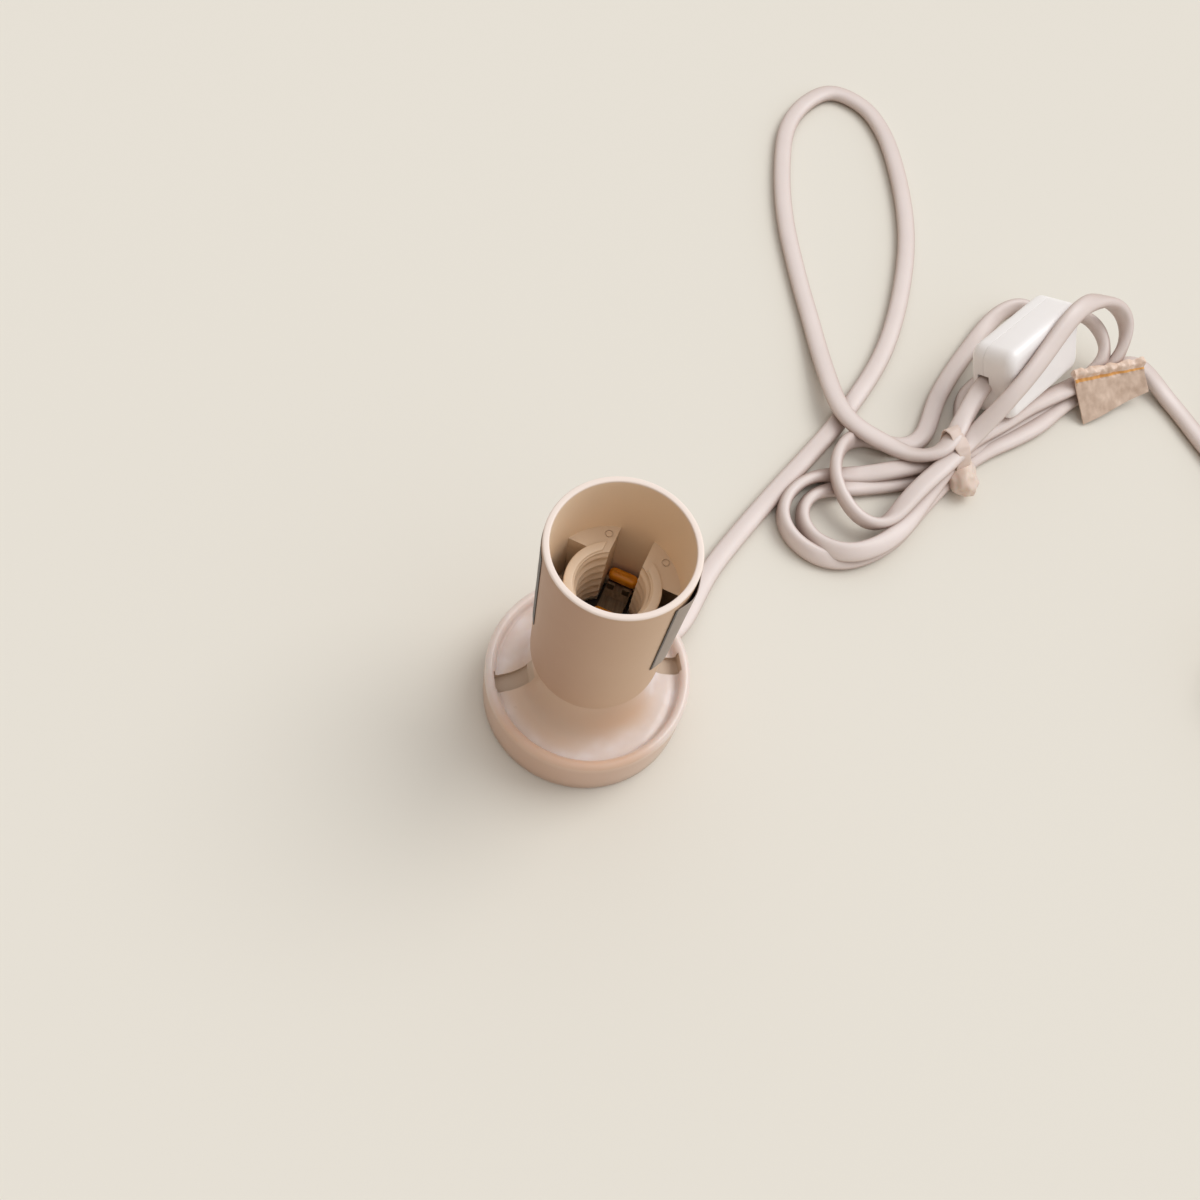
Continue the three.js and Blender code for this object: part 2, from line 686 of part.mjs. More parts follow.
// Hole for the rocker, and the two halves of the housing: rounded trays, hollow towards the split
const rockerHole = roundedOutline(rockerLength + 2 * rockerSwing, rockerWidth + 2 * rockerGap, 0.6, 2);
function backShell() {
  const tray = cut(
    plate(housing, switchBack, splitHeight + switchEdge + 1, switchEdge, 3),
    plate(housing, splitHeight - seatGap / 2, splitHeight + 4),
    plate(cavity, switchBack + switchWall, splitHeight + 1),
  );
  const bosses = bossPlaces.map(([x, y]) =>
    rod(2, switchBack + switchWall / 2, splitHeight - seatGap / 2 - 0.1).translate(x, y, 0));
  const holes = bossPlaces.map(([x, y]) => rod(1.2, splitHeight - 3.4, splitHeight + 1, 12).translate(x, y, 0));
  return cut(join(tray, ...bosses), cordWayCut, ...holes);
}

function frontShell() {
  const tray = cut(
    plate(housing, splitHeight - switchEdge - 1, switchFront, switchEdge, 3),
    plate(housing, splitHeight - 4, splitHeight + seatGap / 2),
    plate(cavity, splitHeight - 1, switchFront - switchWall),
    plate(rockerHole, 0, switchFront + 1),
  );
  const bosses = bossPlaces.map(([x, y]) =>
    rod(2.2, splitHeight + seatGap / 2 + 0.1, switchFront - switchWall / 2).translate(x, y, 0));
  const wells = bossPlaces.flatMap(([x, y]) => [
    rod(1.75, wellFloor, switchFront + 1, 16).translate(x, y, 0),
    rod(1.2, splitHeight - 1, switchFront, 12).translate(x, y, 0),
  ]);
  return cut(join(tray, ...bosses), cordWayCut, ...wells);
}

piece(switchGroup, 'switch_back_shell', backShell(), whiteSwitch);
piece(switchGroup, 'switch_front_shell', frontShell(), whiteSwitch);

// Rocker: a shallow V in side view, with a stem that carries the bridge contact
const pivotHeight = switchFront - rockerPivotDepth;
const restTilt = rockerTilt * degrees;

function rocker() {
  const [half, rise] = [rockerLength / 2, rockerPivotDepth + rockerProud];
  const side = outline([
    [-half, -0.2], [-half, rise - 0.7], [-half + 0.7, rise], [0, rise - half * Math.tan(restTilt) * 0.5],
    [half - 0.7, rise], [half, rise - 0.7], [half, -0.2], [0, -0.8],
  ]);
  const body = plate(side, -rockerWidth / 2, rockerWidth / 2, 0.4).rotateX(Math.PI / 2);
  const stem = rod(1.6, -2.2, 0, 16);
  return join(body, stem);
}

const rockerGroup = new THREE.Group();
rockerGroup.position.z = pivotHeight;
rockerGroup.rotation.y = -restTilt;
switchGroup.add(rockerGroup);
piece(rockerGroup, 'switch_rocker', rocker(), whiteSwitch);
piece(rockerGroup, 'switch_bridge_contact', plate(
  roundedOutline(bridgeLength, 3.4, 0.6, 2), -2.2 - seatGap - bridgeThickness, -2.2 - seatGap,
), contactMetal);

// Terminal blocks and housing screws of the switch. Each block's post stops just under the bridge.
const bridgeDrop = 2.2 + seatGap + bridgeThickness;
const bridgeSwing = bridgeDrop * Math.cos(restTilt) + (bridgeLength / 2) * Math.sin(restTilt);
const postTop = pivotHeight - bridgeSwing - seatGap;
[-1, 1].forEach((side, i) => {
  const floor = switchBack + switchWall + seatGap;
  const body = block(
    [side * blockOffset - 1.9, -blockWidth / 2, floor],
    [side * blockOffset + 1.9, blockWidth / 2, floor + 1.3],
  );
  const post = block(
    [side * (blockOffset - 3.9) - 1, -1.5, floor],
    [side * (blockOffset - 3.9) + 1, 1.5, postTop],
  );
  const bridge = block(
    [Math.min(side * (blockOffset - 4), side * blockOffset), -1.5, floor],
    [Math.max(side * (blockOffset - 4), side * blockOffset), 1.5, floor + 0.7],
  );
  piece(switchGroup, `switch_terminal_${i + 1}`, join(body, post, bridge), contactMetal);
  const [x, y] = bossPlaces[i];
  const headLow = wellFloor + seatGap;
  piece(switchGroup, `switch_screw_${i + 1}`, turned([
    [0, splitHeight - 2.9], [0.9, splitHeight - 2.4], [0.9, headLow], [1.45, headLow], [1.45, headLow + 0.6],
    [1.2, headLow + 1], [0, headLow + 1],
  ], 12).translate(x, y, 0), zincSteel);
});

// Tie: a band round the bundle, with its twisted ends as a knot below
const tieGroup = new THREE.Group();
tieGroup.position.set(tiePlace[0], tiePlace[1], 0);
tieGroup.rotation.z = tieDirection * degrees;
part.add(tieGroup);

const bundleHeight = hankHeight - tieThickness - seatGap;

function tieBand() {
  const inner = [bundleWidth + 2 * seatGap, bundleHeight + 2 * seatGap];
  const outer = inner.map((size) => size + 2 * tieThickness);
  const ring = cut(
    plate(roundedOutline(outer[0], outer[1], 3.4, 5), -tieWidth / 2, tieWidth / 2, 0.3),
    plate(roundedOutline(inner[0], inner[1], 2.6, 5), -tieWidth, tieWidth),
  );
  return ring
    .rotateX(Math.PI / 2)
    .rotateZ(Math.PI / 2)
    .translate(0, 0, outer[1] / 2 + cordRest);
}

piece(tieGroup, 'hank_tie', tieBand(), whiteSwitch);

// Flag tag: two leaves pressed together, hanging from the cord and leaning on the table
const tagCorners = {
  upperNear: [103.2, 118.8, 6.6],
  upperFar: [120.6, 127.6, 8.4],
  lowerNear: [109.2, 110.3, 0.6],
};

function flagTag() {
  const [start, far, low] = Object.values(tagCorners).map((p) => new THREE.Vector3(...p));
  const side = far.clone().sub(start);
  const drop = low.clone().sub(start);
  const x = side.clone().normalize();
  const z = side.clone().cross(drop).normalize();
  const y = z.clone().cross(x);
  const slant = drop.dot(x);
  const height = drop.dot(y);
  const shape = outline([
    [0, 0], [side.length(), 0], [side.length() + slant * tagShorter, height * tagShorter], [slant, height],
  ]);
  return plate(shape, -tagThickness / 2, tagThickness / 2)
    .applyMatrix4(new THREE.Matrix4().makeBasis(x, y, z).setPosition(start));
}

piece(part, 'flag_tag', flagTag(), tagFilm);

// Plug: a flat body that narrows to the cord, two sleeved pins and a ribbed neck
const plugGroup = new THREE.Group();
plugGroup.position.set(plugPlace[0], plugPlace[1], plugThickness / 2 + cordRest);
plugGroup.rotation.z = plugDirection * degrees;
part.add(plugGroup);

function plugBody() {
  const [neck, face] = [plugNeckWidth / 2, plugFaceWidth / 2];
  const curve = (side) => new THREE.CubicBezierCurve(
    new THREE.Vector2(6, side * neck),
    new THREE.Vector2(14, side * neck),
    new THREE.Vector2(14, side * (face - 2)),
    new THREE.Vector2(plugLength - 8, side * face),
  ).getPoints(7).map((p) => [p.x, p.y]);
  const shape = outline([
    [0, -neck], ...curve(-1), [plugLength, -face], [plugLength, face], ...curve(1).reverse(), [0, neck],
  ]);
  const body = plate(shape, -plugThickness / 2, plugThickness / 2, 2.6, 3);
  const waist = block([-2, -neck - 1, cordThickness / 2 + 2.4], [7, neck + 1, plugThickness]);
  const bores = [-1, 1].flatMap((side) => [
    rod(sleeveRadius + seatGap, plugLength - 1.2, plugLength + 1, 16),
    rod(pinShankRadius + seatGap, plugLength - pinRootLength - seatGap, plugLength, 12),
  ].map((hole) => hole.rotateY(Math.PI / 2).translate(0, (side * pinSpacing) / 2, 0)));
  const grooves = [1.4, 4].flatMap((x) => [neck, -neck].map((y) =>
    block([x, y - 1, -plugThickness], [x + 1, y + 1, plugThickness])));
  return cut(body, waist, waist.clone().rotateX(Math.PI), ...bores, ...grooves);
}

piece(plugGroup, 'plug_body', plugBody(), whiteSwitch);
[-1, 1].forEach((side, i) => {
  const lay = (geometry) => geometry.rotateY(Math.PI / 2).translate(0, (side * pinSpacing) / 2, 0);
  const tip = plugLength + pinLength;
  const sleeveEnd = plugLength + sleeveLength;
  piece(plugGroup, `plug_pin_${i + 1}`, lay(turned([
    [0, plugLength - pinRootLength], [pinShankRadius, plugLength - pinRootLength],
    [pinShankRadius, sleeveEnd + seatGap], [pinRadius, sleeveEnd + seatGap],
    [pinRadius, tip - 1.2], [pinRadius * 0.8, tip - 0.4], [pinRadius * 0.4, tip], [0, tip],
  ], 16)), brassPin);
  piece(plugGroup, `plug_sleeve_${i + 1}`, lay(tube(
    pinShankRadius + 0.2, sleeveRadius, plugLength - 0.9, sleeveEnd, 16,
  )), whiteSwitch);
});

// Cord from the cup's window round the big loop to the hank
const low = cordRest + cordThickness / 2;
const lie = low + 0.2; // of a free stretch, a little clear of the table
const over = low + cordThickness + seatGap;
const feedRoute = [
  outward(cupRadius + 0.3, cupWindowHeight), outward(cupRadius + 3.5, cupWindowHeight - 0.7),
  [19.4, 23.8, lie + 1.3], [21.3, 30.4, lie + 0.4],
  [23.8, 39.2, lie], [28.4, 54, lie], [35.7, 70.4, lie], [42.4, 84.5, lie],
  [47.4, 93.9, lie], [53.3, 114.9, lie], [55.8, 135, lie], [54.8, 156.6, lie],
  [50.1, 177.4, lie], [43.5, 194.5, lie], [36.4, 203.6, lie], [28.5, 205.8, lie],
  [20.6, 200.8, lie], [16.2, 189, lie], [15.6, 174, lie], [19.4, 154.5, lie],
  [27.4, 132.8, lie], [34.4, 117.1, lie], [39.4, 104.8, lie + 1.2], [43, 95.4, over],
  [45.3, 89.8, over + 0.2],
];
piece(part, 'cord_feed', flatCord(feedRoute, 46), whiteCord);

// Cord into the switch, and out of it again towards the tag
const atSwitch = (x, y, z) => new THREE.Vector3(x, y, z).applyMatrix4(switchGroup.matrix).toArray();
const switchEnd = switchLength / 2 + seatGap;
const intoRoute = [
  [74.6, 92.2, 7.2], [75.4, 96.4, 9],
  atSwitch(-switchEnd - 4, 0, splitHeight), atSwitch(-switchEnd, 0, splitHeight),
];
piece(part, 'cord_switch_in', flatCord(intoRoute, 4), whiteCord);
const outOfRoute = [
  atSwitch(switchEnd + 0.1, 0, splitHeight), atSwitch(switchEnd + 4, 0, splitHeight), [104.4, 140.6, 9],
  [108.6, 140, 7.4], [111.6, 135.6, 6.7], [111.8, 129, 6.9],
];
piece(part, 'cord_switch_out', flatCord(outOfRoute, 8), whiteCord);

// Outer shape of the hank: the lobes on the base's side of the tie, and the bundle beyond it
function spread(points, facets) {
  const curve = new THREE.CatmullRomCurve3(points.map(([x, y]) => new THREE.Vector3(x, y, 0)), true);
  return outline(curve.getPoints(facets).slice(0, -1).map((p) => [p.x, p.y]));
}

const atTie = (geometry) => geometry.rotateZ(tieDirection * degrees).translate(tiePlace[0], tiePlace[1], 0);

// What is cut away where the tie draws the bundle in, and the two sides of the bundle
const bundleBase = cordRest + tieThickness + seatGap;
const drawnIn = plate(roundedOutline(bundleWidth, bundleHeight, 2.3, 4), -tieWidth, tieWidth)
  .rotateX(Math.PI / 2)
  .rotateZ(Math.PI / 2)
  .translate(0, 0, bundleBase + bundleHeight / 2);
const tieSpace = atTie(cut(block(
  [-tieWidth / 2 - seatGap, -2 * bundleWidth, -1],
  [tieWidth / 2 + seatGap, 2 * bundleWidth, 2 * hankHeight],
), drawnIn));
const parting = tieWidth / 2 + 3;
const beyondTie = atTie(block([parting, -60, -1], [parting + 90, 60, 2 * hankHeight]));
const beforeTie = atTie(block([parting - 90, -60, -1], [parting + seatGap, 60, 2 * hankHeight]));

const hankTop = hankHeight + cordRest;
const nearLobes = [
  [80.6, 92.6], [70, 87.8], [60, 87.9], [50.2, 86.9], [44.2, 80.2], [40.2, 73.6], [34.6, 65.4],
  [32.7, 57.2], [35.6, 50], [42.2, 46], [50, 45.2], [58.4, 48.4], [65.4, 54.6], [71, 63.6],
  [76.8, 73.6], [84.4, 81.9],
];
const underLobes = [
  [20.6, 30.4], [23.8, 39.2], [28.4, 54], [35.7, 70.4], [42.4, 84.5], [46.4, 92],
].map(([x, y]) => [x, y, 0]);
const feedSpace = closed(new THREE.ExtrudeGeometry(outline([
  [-5, -cordWidth / 2 - 2 * seatGap], [low + cordThickness / 2 + seatGap, -cordWidth / 2 - 2 * seatGap],
  [low + cordThickness / 2 + seatGap, cordWidth / 2 + 2 * seatGap], [-5, cordWidth / 2 + 2 * seatGap],
]), { steps: 10, extrudePath: route(underLobes), bevelEnabled: false }));
piece(part, 'cord_hank_near', cut(
  plate(spread(nearLobes, 48), cordRest, hankTop), tieSpace, beyondTie, feedSpace,
), whiteCord);

const farBundle = [
  [83.4, 81.2], [91.2, 89.6], [97.4, 96.6], [102.4, 104.8], [104.6, 110.4], [102.6, 113.4],
  [97.4, 110.6], [92.6, 104], [87.4, 96.8], [78.6, 92.4],
];
piece(part, 'cord_hank_far', cut(
  plate(spread(farBundle, 36), cordRest, over + cordThickness / 2), beforeTie,
), whiteCord);

// Cord past the tag to the coil, the coil, and the last stretch into the plug
const tailRoute = [
  [105.4, 122.6, 9.7], [112, 126.2, 10.3], [119.4, 129.8, 10.4], [124.4, 129.4, 8.6],
  [128.8, 126.2, 5.4], [132.6, 122, 2.9], [136.6, 118, low + 0.2], [141.1, 114, low + 0.2],
];
piece(part, 'cord_tail', flatCord(tailRoute, 8), whiteCord);

const [ringIn, ringOut] = [coilRadius - coilWidth / 2, coilRadius + coilWidth / 2];
const coilTop = cordRest + coilHeight;
piece(part, 'cord_coil', turned([
  [ringIn, cordRest + 1], [ringIn + 1, cordRest], [ringOut - 1, cordRest], [ringOut, cordRest + 1],
  [ringOut, coilTop - 1], [ringOut - 1, coilTop], [ringIn + 1, coilTop], [ringIn, coilTop - 1],
  [ringIn, cordRest + 1],
], 48).translate(coilCentre[0], coilCentre[1], 0), whiteCord);

const plugEntry = [plugPlace[0], plugPlace[1] + 2 * seatGap, plugThickness / 2 + cordRest];
const leadRoute = [
  [166.2, 83.2, low + 2.1], [167.2, 79.8, low + 3.9], [168, 77, plugEntry[2]], plugEntry,
];
piece(part, 'cord_plug_lead', flatCord(leadRoute, 3), whiteCord);

export default part;
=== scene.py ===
"""Lamp cord set, dressed for rendering: holder on its cup base, flat cord, switch, tag and plug."""

from math import atan2, copysign, cos, degrees, exp, hypot, pi, radians, sin, tan

import bmesh
import bpy
from mathutils import Matrix, Vector, noise


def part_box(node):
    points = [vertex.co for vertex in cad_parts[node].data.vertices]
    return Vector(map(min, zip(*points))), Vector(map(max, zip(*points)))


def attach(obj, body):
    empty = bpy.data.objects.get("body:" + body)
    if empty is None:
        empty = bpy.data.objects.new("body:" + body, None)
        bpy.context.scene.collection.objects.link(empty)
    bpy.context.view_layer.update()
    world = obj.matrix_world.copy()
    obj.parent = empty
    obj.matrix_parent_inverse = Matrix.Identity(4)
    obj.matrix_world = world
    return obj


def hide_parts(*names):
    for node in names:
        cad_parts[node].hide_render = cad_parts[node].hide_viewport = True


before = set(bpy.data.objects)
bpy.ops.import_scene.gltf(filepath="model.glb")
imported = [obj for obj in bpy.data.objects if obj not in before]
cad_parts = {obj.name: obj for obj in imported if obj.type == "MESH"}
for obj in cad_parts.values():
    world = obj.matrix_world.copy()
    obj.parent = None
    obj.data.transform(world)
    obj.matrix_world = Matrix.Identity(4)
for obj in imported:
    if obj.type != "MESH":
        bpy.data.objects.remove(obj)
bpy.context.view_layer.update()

MM = 0.001
BODY = "cord_set"


# Sizes in millimetres and turns in degrees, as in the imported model

CUP_RADIUS = 22.0
CUP_HEIGHT = 14.0
CUP_WALL = 2.2
CUP_FOOT_ROUNDING = 1.4
CUP_FLOOR_DEPTH = 2.9
CUP_FLOOR_THICKNESS = 2.3
GROOVE_TURN = 22.4
GROOVE_WIDTH = 4.0
GROOVE_DEPTH = 1.2
WINDOW_TURN = 48.0
WINDOW_HEIGHT = 5.0
COVER_RADIUS = 19.7

SHELL_RADIUS = 14.0
SHELL_FOOT_RADIUS = 13.3
SHELL_WALL = 1.25
SHELL_LOW = 19.4
SHELL_TOP = 69.8
FOOT_ROUNDING = 8.0
SHELL_FLOOR = 1.8
LEDGE_TOP = 25.2
LEDGE_INSIDE = 9.15
BORE = 5.15

HOLDER_TURN = -10.0
INSERT_LOW = 34.27
DECK_TOP = 54.17
RING_PROUD = 0.7
RING_RADIUS = 9.1
THREAD_RADIUS = 7.05
THREAD_CREST = 6.35
THREAD_PITCH = 2.82
SLOT_WIDTH = 6.7
RING_RELIEF = 1.25
POCKET_FAR = 5.4
POCKET_NEAR = -3.7
POCKET_DEPTH = 13.0

FOOT_CENTRE = (SHELL_FOOT_RADIUS - FOOT_ROUNDING, SHELL_LOW + FOOT_ROUNDING)
SEAT_GAP = 0.3  # between the shell's foot and the hollow of the cup that holds it
SEAT_RADIUS = FOOT_ROUNDING + SEAT_GAP
SEAT_END = -43.0  # where the hollow meets the cup's floor, in degrees
CUP_INSIDE = CUP_RADIUS - CUP_WALL
CUP_LEVEL = CUP_HEIGHT - CUP_FLOOR_DEPTH
RING_TOP = DECK_TOP + RING_PROUD

CORD_WIDTH = 4.8
CORD_THICKNESS = 3.0
CORD_REST = 0.12  # its underside above the table
LYING = 1.6  # height of the centre line of a strand that lies flat
ROLL_UNIT = 10.0  # degrees of roll that weigh as much as a millimetre when a route is smoothed

SWITCH_LENGTH = 30.0
SWITCH_WIDTH = 20.0
SWITCH_THICKNESS = 12.0
SWITCH_SPLIT = 2.0

TIE_PLACE = Vector((76.2, 83.6, 0.0))
TIE_REACH = (-14.0, 7.0)  # across the strands, from the tie's place
TIE_TURN = 41.0  # of the strands where they pass through the tie
TIE_WAY = Vector((cos(radians(TIE_TURN)), sin(radians(TIE_TURN)), 0.0))
TIE_SIDE = Vector((-TIE_WAY.y, TIE_WAY.x, 0.0))


# Scene helpers

def linear(hex_colour):
    """sRGB hex colour as linear RGBA."""
    out = []
    for i in (1, 3, 5):
        c = int(hex_colour[i:i + 2], 16) / 255
        out.append(c / 12.92 if c <= 0.04045 else ((c + 0.055) / 1.055) ** 2.4)
    return (*out, 1.0)


def linked(name, data):
    """New object of the scene that holds the data."""
    obj = bpy.data.objects.new(name, data)
    bpy.context.scene.collection.objects.link(obj)
    return obj


def add_object(name, mesh, material, replaces=()):
    """Link a mesh as an object of the part, on the body that it rides on, and hide the parts it
    replaces.
    """
    obj = linked(name, mesh)
    mesh.materials.clear()
    mesh.materials.append(material)
    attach(obj, BODY)
    if replaces:
        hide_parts(*replaces)
    return obj


def shaded(mesh, sharp=35.0):
    """Smooth shading that keeps the edges sharper than the angle."""
    mesh.shade_smooth()
    mesh.set_sharp_from_angle(angle=radians(sharp))
    return mesh


def mesh_from(name, points, faces, sharp=35.0):
    """Mesh in metres from points in millimetres, its faces turned outwards."""
    mesh = bpy.data.meshes.new(name)
    mesh.from_pydata([Vector(p) * MM for p in points], [], faces)
    bm = bmesh.new()
    bm.from_mesh(mesh)
    bmesh.ops.recalc_face_normals(bm, faces=bm.faces)
    bm.to_mesh(mesh)
    bm.free()
    return shaded(mesh, sharp)


def placed(mesh, matrix):
    """The mesh moved by a matrix whose shift is in millimetres."""
    matrix = matrix.copy()
    matrix.translation *= MM
    mesh.transform(matrix)
    return mesh


def turned(mesh, angle, axis):
    """The mesh turned by an angle in degrees about an axis through the origin."""
    mesh.transform(Matrix.Rotation(radians(angle), 4, axis))
    return mesh


def rounded(corners, steps=5):
    """Closed outline whose (x, y, radius) corners are rounded; (x, y) ones stay sharp."""
    out = []
    for i, corner in enumerate(corners):
        here = Vector(corner[:2])
        if len(corner) < 3:
            out.append(here)
            continue
        before = (Vector(corners[i - 1][:2]) - here).normalized()
        after = (Vector(corners[(i + 1) % len(corners)][:2]) - here).normalized()
        half = before.angle(after) / 2
        centre = here + (before + after).normalized() * (corner[2] / sin(half))
        start = here + before * (corner[2] / tan(half)) - centre
        end = here + after * (corner[2] / tan(half)) - centre
        for k in range(steps + 1):
            out.append(centre + start.normalized().slerp(end.normalized(), k / steps) * corner[2])
    return out


def rectangle(length, width, radius, steps=8):
    """Outline of a rectangle about the origin, its corners rounded."""
    x, y = length / 2, width / 2
    return rounded([(x, -y, radius), (x, y, radius), (-x, y, radius), (-x, -y, radius)], steps)


def arc(centre, radius, start, end, steps):
    """Points of an arc, its angles in degrees."""
    turns = [radians(start + (end - start) * k / steps) for k in range(steps + 1)]
    return [Vector((centre[0] + radius * cos(t), centre[1] + radius * sin(t))) for t in turns]


def curve(a, b, c, steps):
    """Points from a to c of the curve that is bent towards b."""
    a, b, c = Vector(a), Vector(b), Vector(c)
    return [a * (1 - t) ** 2 + b * (2 * t * (1 - t)) + c * t * t
            for t in (k / steps for k in range(steps + 1))]


def tube_faces(count, rings, closed=False):
    """Quads between rings of count points each; the two ends are shut or, if closed, joined."""
    faces = []
    for j in range(rings if closed else rings - 1):
        low, high = j * count, (j + 1) % rings * count
        for i in range(count):
            k = (i + 1) % count
            faces.append((low + i, low + k, high + k, high + i))
    if not closed:
        faces += [tuple(range(count)), tuple(range((rings - 1) * count, rings * count))]
    return faces


def sheet_faces(across, down):
    """Faces of a sheet: two layers of across x down quads, row by row, and then its rim."""
    wide = across + 1
    sheet = wide * (down + 1)
    faces = []
    for layer in (0, sheet):
        for j in range(down):
            for i in range(across):
                a = layer + j * wide + i
                quad = (a, a + 1, a + 1 + wide, a + wide)
                faces.append(quad if layer else quad[::-1])
    last = sheet - wide
    rim = (list(range(across)) + [j * wide + across for j in range(down)]
           + list(range(last + across, last, -1)) + [j * wide for j in range(down, 0, -1)])
    return faces + [(a, b, b + sheet, a + sheet) for a, b in zip(rim, rim[1:] + rim[:1])]


def lathe(name, outline, facets=160, sharp=35.0):
    """Turned mesh from a closed (radius, height) outline about the Z axis."""
    points, faces, rings = [], [], []
    for r, z in outline:
        if r < 1e-6:
            rings.append([len(points)] * facets)
            points.append((0.0, 0.0, z))
        else:
            rings.append([len(points) + k for k in range(facets)])
            turn = [2 * pi * k / facets for k in range(facets)]
            points += [(r * cos(a), r * sin(a), z) for a in turn]
    for low, high in zip(rings, rings[1:] + rings[:1]):
        for k in range(facets):
            m = (k + 1) % facets
            face = list(dict.fromkeys((low[k], low[m], high[m], high[k])))
            if len(face) > 2:
                faces.append(face)
    return mesh_from(name, points, faces, sharp)


def plate(name, outline, low, high, round_low=0.0, round_high=0.0, steps=6, sharp=35.0):
    """Plate of an anticlockwise outline whose rims are rounded by the two radii."""
    hold = 0.25  # width of the flat ring inside a rounding, which keeps the face's shading flat
    count = len(outline)
    inward = []
    for i in range(count):
        a = (outline[i] - outline[i - 1]).normalized()
        b = (outline[(i + 1) % count] - outline[i]).normalized()
        na, nb = Vector((-a.y, a.x)), Vector((-b.y, b.x))
        inward.append((na + nb) / max(1 + na.dot(nb), 0.3))
    levels = []
    for radius, face, way in ((round_low, low, 1), (round_high, high, -1)):
        side = [(radius + hold, face)] if radius > 0 else [(0.0, face)]
        for k in range(steps + 1 if radius > 0 else 0):
            t = pi / 2 * k / steps
            side.append((radius * (1 - sin(t)), face + way * radius * (1 - cos(t))))
        levels.append(side)
    levels = levels[0] + levels[1][::-1]
    points = [(*(p + n * inset), z) for inset, z in levels for p, n in zip(outline, inward)]
    return mesh_from(name, points, tube_faces(count, len(levels)), sharp)


def block(low, high):
    """Plain block, used only to cut with."""
    (x0, y0, z0), (x1, y1, z1) = low, high
    points = [(x, y, z) for x in (x0, x1) for y in (y0, y1) for z in (z0, z1)]
    faces = [(0, 1, 3, 2), (4, 6, 7, 5), (0, 4, 5, 1), (2, 3, 7, 6), (0, 2, 6, 4), (1, 5, 7, 3)]
    return mesh_from("block", points, faces)


def cylinder(radius, low, high, facets=160):
    """Plain cylinder about the Z axis, used only to cut with."""
    return lathe("cylinder", [(0, low), (radius, low), (radius, high), (0, high)], facets)


def boolean(mesh, *tools, operation="DIFFERENCE", sharp=35.0):
    """The closed mesh with the tools taken out of it or, by INTERSECT, only what it shares."""
    objects = [linked(m.name, m) for m in (mesh, *tools)]
    for tool in objects[1:]:
        step = objects[0].modifiers.new("cut", "BOOLEAN")
        step.operation = operation
        step.solver = "EXACT"
        step.object = tool
    bpy.context.view_layer.update()
    graph = bpy.context.evaluated_depsgraph_get()
    result = bpy.data.meshes.new_from_object(objects[0].evaluated_get(graph))
    result.name = mesh.name
    for obj in objects:
        bpy.data.objects.remove(obj)
    return shaded(result, sharp)


# Materials

def add_node(tree, kind, sockets=None, **settings):
    """Add a shader node with its settings; sockets are values or links for its inputs."""
    n = tree.nodes.new("ShaderNode" + kind)
    for key, value in settings.items():
        setattr(n, key, value)
    for key, value in (sockets or {}).items():
        if isinstance(value, bpy.types.NodeSocket):
            tree.links.new(value, n.inputs[key])
        else:
            n.inputs[key].default_value = value
    return n


def new_material(name):
    """Empty material, with its node tree and its shader."""
    mat = bpy.data.materials.new(name)
    mat.use_nodes = True
    return mat, mat.node_tree, mat.node_tree.nodes["Principled BSDF"]


def place_on(tree):
    """Socket of the place on the object, in metres."""
    return add_node(tree, "TexCoord").outputs["Object"]


def clouds(tree, size, detail, place=None):
    """Socket of soft noise, its blotches of a size in millimetres."""
    return add_node(tree, "TexNoise", {
        "Vector": place or place_on(tree), "Scale": 1 / (size * MM), "Detail": detail,
    }).outputs["Fac"]


def ramp(tree, value, start, end, most=1.0, shape="LINEAR"):
    """Socket that goes from 0 to most as the value goes from start to end."""
    return add_node(tree, "MapRange", {
        "Value": value, "From Min": start, "From Max": end, "To Max": most,
    }, interpolation_type=shape).outputs["Result"]


def blend(tree, amount, under, over):
    """Socket of the colour that goes from under to over with the amount."""
    return add_node(tree, "Mix", {0: amount, 6: under, 7: over}, data_type="RGBA").outputs[2]


def joined(tree, operation, first, *others):
    """Socket of the first value joined to the others by a calculation."""
    for other in others:
        first = add_node(tree, "Math", {0: first, 1: other}, operation=operation).outputs[0]
    return first


def dress(tree, shader, pattern, dark, light, roughness, height, relief):
    """Tone and roughness (from, to) that follow a pattern, and a relief in millimetres."""
    low, high = roughness
    dull = add_node(tree, "MapRange", {"Value": pattern, "To Min": low, "To Max": high})
    bump = add_node(tree, "Bump", {"Height": height, "Distance": relief * MM})
    tree.links.new(blend(tree, pattern, linear(dark), linear(light)), shader.inputs["Base Color"])
    tree.links.new(dull.outputs["Result"], shader.inputs["Roughness"])
    tree.links.new(bump.outputs["Normal"], shader.inputs["Normal"])


def moulded(name, light, dark, blotch, roughness, grain, relief, **shader_values):
    """Moulded plastic: two near tones in soft blotches and the fine texture of its mould.

    blotch and grain are sizes in millimetres, relief is the height of the grain in millimetres.
    """
    spread = 0.06
    mat, tree, shader = new_material(name)
    dress(tree, shader, clouds(tree, blotch, 3.0), dark, light,
          (roughness + spread, roughness - spread), clouds(tree, grain, 2.0), relief)
    for key, value in shader_values.items():
        key = key.replace("_", " ").title().replace("Ior", "IOR")
        shader.inputs[key].default_value = value
    return mat


def drawn_metal(name, light, dark, roughness, streak):
    """Sheet or bar metal with fine drawing lines, streak millimetres apart."""
    mat, tree, shader = new_material(name)
    stretched = add_node(tree, "Mapping", {"Vector": place_on(tree), "Scale": (1.0, 0.12, 1.0)})
    lines = clouds(tree, streak, 4.0, stretched.outputs[0])
    dress(tree, shader, lines, dark, light, (roughness - 0.08, roughness + 0.1), lines, 0.003)
    shader.inputs["Metallic"].default_value = 1.0
    return mat


